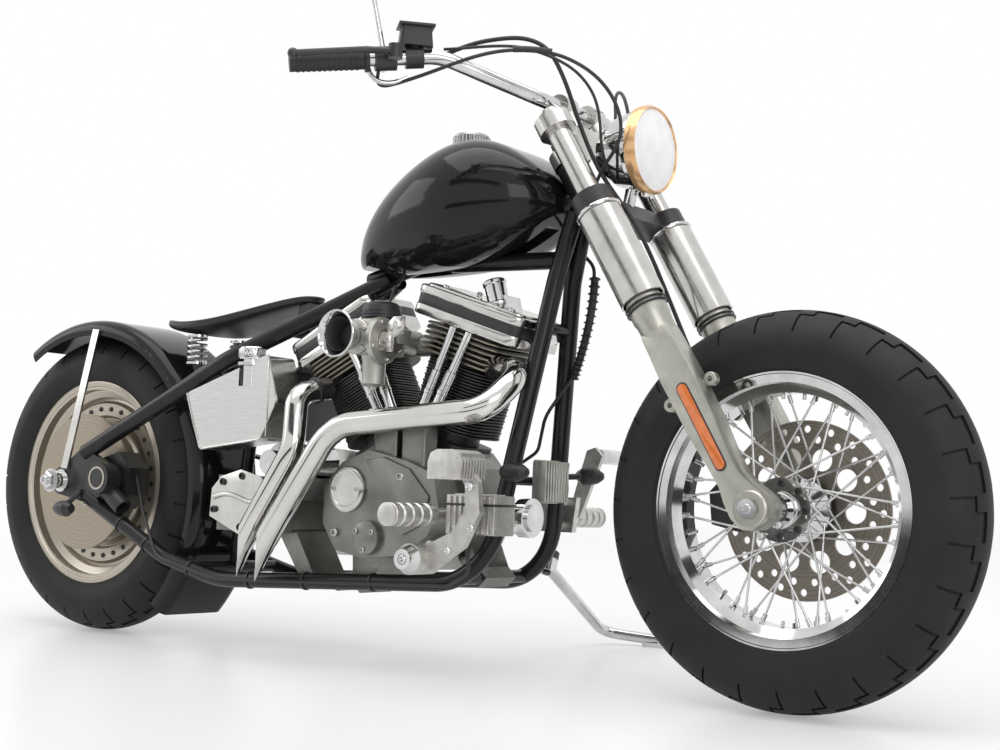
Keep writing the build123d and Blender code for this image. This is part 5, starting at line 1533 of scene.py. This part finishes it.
@dataclass
class FootControls:
    """Rings, ribs, fins and bolts on the foot controls of both sides."""

    peg_x: float = 1064.0
    peg_z: float = 288.0
    ribs: int = 9
    fins: int = 9
    arm_face: float = -228.0

    def build(self) -> None:
        """Pegs, brake pedal, master cylinder and shift side."""
        for side, name in ((-1, "right"), (1, "left")):
            rings = [turned("peg_ring", [
                (-9.5, 0), (-9.5, 17), (-7, 19.5), (7, 19.5), (9.5, 17), (9.5, 0),
            ], (self.peg_x, side * reach, self.peg_z), ACROSS, 32)
                for reach in (220, 243, 266, 289, 310)]
            rings.append(turned("peg_end", [(0, 0), (0, 19.5), (3, 19.5), (6, 15), (6, 0)],
                                (self.peg_x, side * 321, self.peg_z), ACROSS * side, 32))
            fit(name + "_peg_rings", rings, MACHINED)
        outline = [
            (1097, 348), (1097, 378), (1103, 392), (1116, 398), (1150, 398), (1163, 392),
            (1169, 378), (1167, 348),
        ]
        starts = [-264 + 8 * i for i in range(self.ribs)]
        fit("pedal_ribs", [slab("rib", outline, y, y + 4.6, 1.6) for y in starts], MACHINED)
        starts = [1098 + 11.5 * i for i in range(self.fins)]
        fins = [slab("fin", upright(x, 260, x + 5, 322), -204, -146, 1.2) for x in starts]
        fit("master_cylinder_fins", fins, MACHINED)
        seam = slab("seam", upright(1090, 306, 1198, 310), -205, -145, 0.8)
        dress(seam, SATIN_BLACK)
        parts = [
            turned("pivot_cone", [(0, 0), (0, 25), (16, 18), (20, 17), (20, 9), (14, 8), (14, 0)],
                   (1062, -257, 214), -ACROSS, 40),
            bolt("pivot_bolt", (1062, -271.5, 214), -ACROSS, 8, 7),
            bolt("arm_bolt", (1160, self.arm_face, 338), -ACROSS, 8, 5),
            bolt("arm_bolt", (1166, self.arm_face, 270), -ACROSS, 7, 5),
            bolt("arm_bolt", (1120, self.arm_face, 230), -ACROSS, 6, 4),
            rod("banjo", (1168, -140, 268), (1168, -112, 268), 9),
        ]
        fit("brake_pedal_bolts", parts, CHROME)
        shift = [
            bolt("shift_bolt", (1112, 172, 300), ACROSS, 9, 6),
            turned("shift_peg", [(0, 0), (0, 13), (4, 14), (66, 14), (70, 12), (70, 0)],
                   (1154, 176, 404), ACROSS, 28),
        ]
        fit("shift_fittings", shift, CHROME)


@dataclass
class FrameTrim:
    """Cable ties, the strut's sleeve, the oil hose and the cable boot on the frame."""

    folds: int = 17

    def build(self) -> None:
        """Small fittings on the frame tubes."""
        ties = []
        for place, way in (
            ((190, -123.6, 236), (-234, 0, 110)), ((270, -122.5, 198), (-234, 0, 110)),
            ((400, -121, 157), (-152, 0, 36)), ((560, -117, 144.4), (490, 16, 24)),
            ((700, -112.5, 151.3), (490, 16, 24)), ((860, -107.2, 159.1), (490, 16, 24)),
        ):
            ties.append(turned("tie", [(-2.6, 14.8), (-2.6, 17.2), (2.6, 17.2), (2.6, 14.8)],
                               place, way, 24))
        ties.append(turned("sleeve", [
            (0, 14.5), (0, 18), (2, 19), (60, 19), (62, 18), (62, 14.5),
        ], (141, -125, 305), (59, 2, -43), 28))
        fit("cable_ties", ties, PLASTIC)
        hose = turned("hose", [(0, 0), (0, 9), (60, 9), (60, 0)],
                      (655, -96, 470), (0.3, 0.1, 1), 16)
        fit("oil_hose_stub", [hose], RUBBER)
        route = [(1218, 42, 716), (1228, 24, 640), (1204, 28, 575), (1184, 36, 540)]
        boot = [piped("boot", route, 7, 8)]
        a, b, c, d = (Vector(point) for point in route)
        for i in range(self.folds):
            to = i / (self.folds - 1)
            fro = 1 - to
            spot = a * fro ** 3 + b * (3 * to * fro ** 2) + c * (3 * to * to * fro) + d * to ** 3
            way = (b - a).lerp(d - c, to)
            boot.append(turned("fold", [(-2.4, 6), (0, 10.5), (2.4, 6)], spot, way, 20))
        fit("cable_boot", boot, RUBBER)


@dataclass
class OilTankTrim:
    """The oil tank's neck, knurled cap and seams."""

    neck: Point = (552, -134, 516)
    ribs: int = 26
    seam_y: float = -150.5

    def build(self) -> None:
        """Neck, cap and seams."""
        x, y, z = self.neck
        cap = [turned("cap", [(52, 0), (52, 25), (56, 26), (72, 26), (76, 23), (76, 0)],
                      self.neck, Z_AXIS, 48)]
        rib = slab("rib", upright(x + 24.5, z + 56, x + 27, z + 72), y - 1.6, y + 1.6, 0.5)
        cap += ringed(rib, self.ribs, self.neck, Z_AXIS)
        fit("oil_cap", cap, CHROME)
        collar = turned("oil_neck", [(40, 20), (40, 28), (46, 28), (46, 20)], self.neck, Z_AXIS)
        seam = slab("seam", upright(612, 420, 615, 572), -151.6, -149, 0.6)
        # a corner given twice pulls the curve close to it
        edge = piped("edge", [(along, self.seam_y, up) for along, up in (
            (392, 503), (434, 393), (434, 393), (598, 414), (598, 414), (638, 488), (638, 488),
            (611, 575),
        )], 1.6, 8, 2)
        fit("oil_tank_seams", [collar, seam, edge], POLISHED)


@dataclass
class FuelCap:
    """The fuel tank's steel screw cap."""

    place: Point = (962, 0, 960)
    ribs: int = 36

    def build(self) -> None:
        """A stepped cap with ribs round its grip."""
        cap = turned("cap", [
            (0, 0), (0, 35), (6, 35), (8, 32), (12, 32), (14, 34), (30, 34), (34, 30), (35, 0),
        ], self.place, Z_AXIS, 64)
        x, y, z = self.place
        grip = rod("grip", (x + 34, y, z + 15), (x + 34, y, z + 29), 1.6, 0.4, 8)
        fit("fuel_cap", [cap, *ringed(grip, self.ribs, self.place, Z_AXIS)], STEEL)


@dataclass
class Seat:
    """The leather seat: a thin pad with a raised welt round its edge.

    Each section is (X, half width, middle height, thickness).
    """

    sections: tuple = (
        (212, 40, 660, 17), (236, 74, 655, 25), (300, 98, 646, 30),
        (380, 90, 652, 30), (440, 68, 668, 28), (516, 46, 687, 24),
        (570, 34, 697, 20), (598, 22, 698, 12),
    )
    sides: int = 20
    inset: float = 3.0
    lift: float = 4.0
    welt: float = 3.2

    def build(self) -> None:
        """Pad and welt."""
        rings = []
        for x, half, z, thick in self.sections:
            ring = []
            for i in range(self.sides):
                turn = 2 * math.pi * i / self.sides
                y = half * math.copysign(abs(math.cos(turn)) ** 0.5, math.cos(turn))
                rise = math.copysign(abs(math.sin(turn)) ** 0.8, math.sin(turn))
                dish = -5 * (1 - (y / half) ** 2) if rise > 0 else 0
                ring.append((x, y, z + thick / 2 * rise + dish * thick / 30))
            rings.append(outlined("ring", ring, filled=False))
        pad = joined("seat_pad", rings)
        edited(
            pad,
            lambda: bpy.ops.mesh.bridge_edge_loops(),
            lambda: bpy.ops.mesh.select_all(action="DESELECT"),
            lambda: bpy.ops.mesh.select_non_manifold(),
            lambda: bpy.ops.mesh.edge_face_add(),
            tidy_mesh,
        )
        modified(pad, "SUBSURF", levels=2, render_levels=2)
        dress(pad, LEATHER, replaces=("seat",), smooth=60)
        left = [(x, half - self.inset, z + self.lift) for x, half, z, _ in self.sections]
        edge = [*((x, -y, z) for x, y, z in left), *reversed(left)]
        dress(piped("seat_welt", [*edge, edge[0]], self.welt, 10, 2), LEATHER, smooth=60)


@dataclass
class BarControls:
    """Grip rings, perch and lever bolts, the reservoir's lid and the throttle's elbow."""

    rings: int = 12
    ring_step: float = 9.0

    def _run(self, side: int) -> tuple:
        """How one end of the bar runs.

        Args:
            side: 1 for the right, -1 for the left.

        Returns:
            Its outer end, the way in along it and the way ahead across it.
        """
        end = Vector((915, -side * 440, 1031))
        bend = Vector((1085, -side * 260, 1062))
        inward = (bend - end).normalized()
        ahead = inward.cross(Z_AXIS).normalized() * side
        return end, inward, ahead

    def build(self) -> None:
        """Both ends of the bar."""
        for side, name in ((1, "right"), (-1, "left")):
            end, inward, ahead = self._run(side)
            rings = [turned("grip_ring", [(0, 16.5), (0.5, 18), (4.5, 18), (5, 16.5)],
                            end + inward * (6 + i * self.ring_step), inward, 28)
                     for i in range(self.rings)]
            fit(name + "_grip_rings", rings, RUBBER, Body.STEERING)
            seats = [end + inward * 156 + Z_AXIS * up for up in (-14, 14)]
            screws = bolts("perch_bolt", seats, -ahead, 4.5, 26)
            pivot = end + inward * 168 + ahead * 44 + Z_AXIS * 11.5
            screws.append(bolt("lever_bolt", pivot, Z_AXIS, 6, 3))
            fit(name + "_perch_bolts", screws, CHROME, Body.STEERING)
        end, inward, ahead = self._run(1)
        base = end + inward * 206 + Z_AXIS * 14
        level = Vector((inward.x, inward.y, 0)).normalized()
        square = level.cross(Z_AXIS)
        corners = [base + Z_AXIS * 36 + level * sx * 31 + square * sy * 24
                   for sx, sy in ((1, 1), (-1, 1), (-1, -1), (1, -1))]
        seats = [base + Z_AXIS * 41 + level * sx * 24 for sx in (1, -1)]
        lid = [prism("lid", corners, Z_AXIS * 5, 1.5), *bolts("lid_screw", seats, Z_AXIS, 3, 1.5)]
        fit("reservoir_cover", lid, PLASTIC, Body.STEERING)
        elbow = piped("throttle_elbow", [
            end + inward * 128 - ahead * 4 - Z_AXIS * 14, end + inward * 134 - Z_AXIS * 40,
            end + inward * 160 - Z_AXIS * 50, end + inward * 196 - Z_AXIS * 34,
        ], 4.2)
        dress(elbow, CHROME, Body.STEERING)


@dataclass
class ControlCables:
    """The brake hose, throttle cable, switch loom and clutch cable, in flowing curves."""

    hose: tuple = (
        (1062, -226, 1074), (1080, -224, 1081), (1123, -214, 1093), (1151, -200, 1098),
        (1188, -180, 1103), (1213, -160, 1097), (1226, -145, 1086), (1234, -130, 1069),
        (1241, -104, 1031), (1245, -80, 988), (1256, -66, 946), (1276, -58, 898),
        (1301, -54, 860), (1331, -52, 822),
    )
    throttle: tuple = (
        (1014, -334, 1031), (1004, -328, 1016), (1003, -320, 1005), (1030, -310, 1009),
        (1097, -290, 1028), (1143, -270, 1047), (1181, -240, 1063), (1212, -212, 1070),
        (1256, -175, 1069), (1289, -148, 1054), (1317, -125, 1031), (1335, -105, 1001),
        (1345, -92, 966), (1344, -88, 933), (1325, -84, 905), (1296, -78, 880),
    )
    loom: tuple = (
        (1076, -238, 1082), (1103, -234, 1080), (1145, -215, 1084), (1188, -190, 1085),
        (1213, -176, 1079), (1247, -150, 1066), (1274, -125, 1047), (1293, -105, 1017),
        (1301, -92, 983), (1302, -86, 937), (1303, -80, 906), (1306, -62, 880), (1306, -36, 872),
    )
    clutch: tuple = (
        (1024, 328, 1030), (1060, 308, 1030), (1104, 272, 1032), (1150, 205, 1052),
        (1180, 150, 1066), (1215, 100, 1071), (1245, 74, 1058), (1262, 66, 1020),
        (1270, 68, 960), (1272, 70, 920),
    )

    def build(self) -> None:
        """Each route with its lower run along the fork, and the taped sleeve."""
        hose = piped("brake_hose", [
            *self.hose, fork_mm(77, -48, 560), fork_mm(66, -20, 510), fork_mm(34, 40, 445),
            fork_mm(14, 72, 390), fork_mm(6, 77, 320), fork_mm(-2, 78, 220), fork_mm(-6, 76, 160),
            (1512.4, 70, 365),
        ], 3.8, 8)
        throttle = piped("throttle", [*self.throttle, fork_mm(14, -58, 622)], 3.2, 8)
        loom = piped("switch_loom", self.loom, 2.6, 8)
        clutch = piped("clutch", [*self.clutch, fork_mm(14, 58, 622)], 3.2, 8)
        sleeve = piped("sleeve", [
            (1206, -217, 1069.5), (1224, -203, 1071.5), (1240, -189, 1071), (1256, -175, 1069),
        ], 5.4, 6)
        fit("steering_cables", [hose, throttle, loom, clutch, sleeve], RUBBER, Body.STEERING)
        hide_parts("control_cables")


@dataclass
class RegulatorTrim:
    """Wavy cooling fins in front of the regulator."""

    def build(self) -> None:
        """Ten thin wavy fins."""
        outline = [(1160, 315), (1160, 389), (1182, 387), (1180, 364), (1182, 340), (1180, 317)]
        fins = [slab("fin", outline, y - 1.1, y + 1.1, 0.5) for y in range(-36, 37, 8)]
        fit("regulator_fins", fins, CAST)


@dataclass
class CanisterTrim:
    """A sleeve with rims round the small canister."""

    def build(self) -> None:
        """The sleeve and its two rims."""
        sleeve = turned("canister_sleeve", [
            (8, 0), (8, 20.5), (11, 22), (15, 22), (17, 20), (49, 20), (51, 22), (56, 22),
            (59, 19), (60, 0),
        ], (1066, -30, 655), (-18, 0, 57), 48)
        dress(sleeve, CHROME)


def main() -> None:
    """Load the frame, build every sub-assembly round it and note its sizes."""
    logging.basicConfig(level=logging.INFO, format="%(name)s: %(message)s")
    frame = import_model()
    dress_nodes(frame)
    Tyre("front_tyre", Body.FRONT_WHEEL, WHEELBASE, 65).build()
    Tyre("rear_tyre", Body.REAR_WHEEL, 0, 67).build()
    FrontWheelTrim().build()
    RearWheelTrim().build()
    HeadlampGlass().build()
    for side in (-1, 1):
        ForkLeg(side).build()
    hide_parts("fork_sliders")
    build_engine_tops()
    Intake().build()
    BottomEnd().build()
    ExhaustTrim().build()
    OilTankTrim().build()
    FuelCap().build()
    Seat().build()
    FootControls().build()
    FrameTrim().build()
    BarControls().build()
    ControlCables().build()
    RegulatorTrim().build()
    CanisterTrim().build()
    Stage().build()


if __name__ == "__main__":
    main()
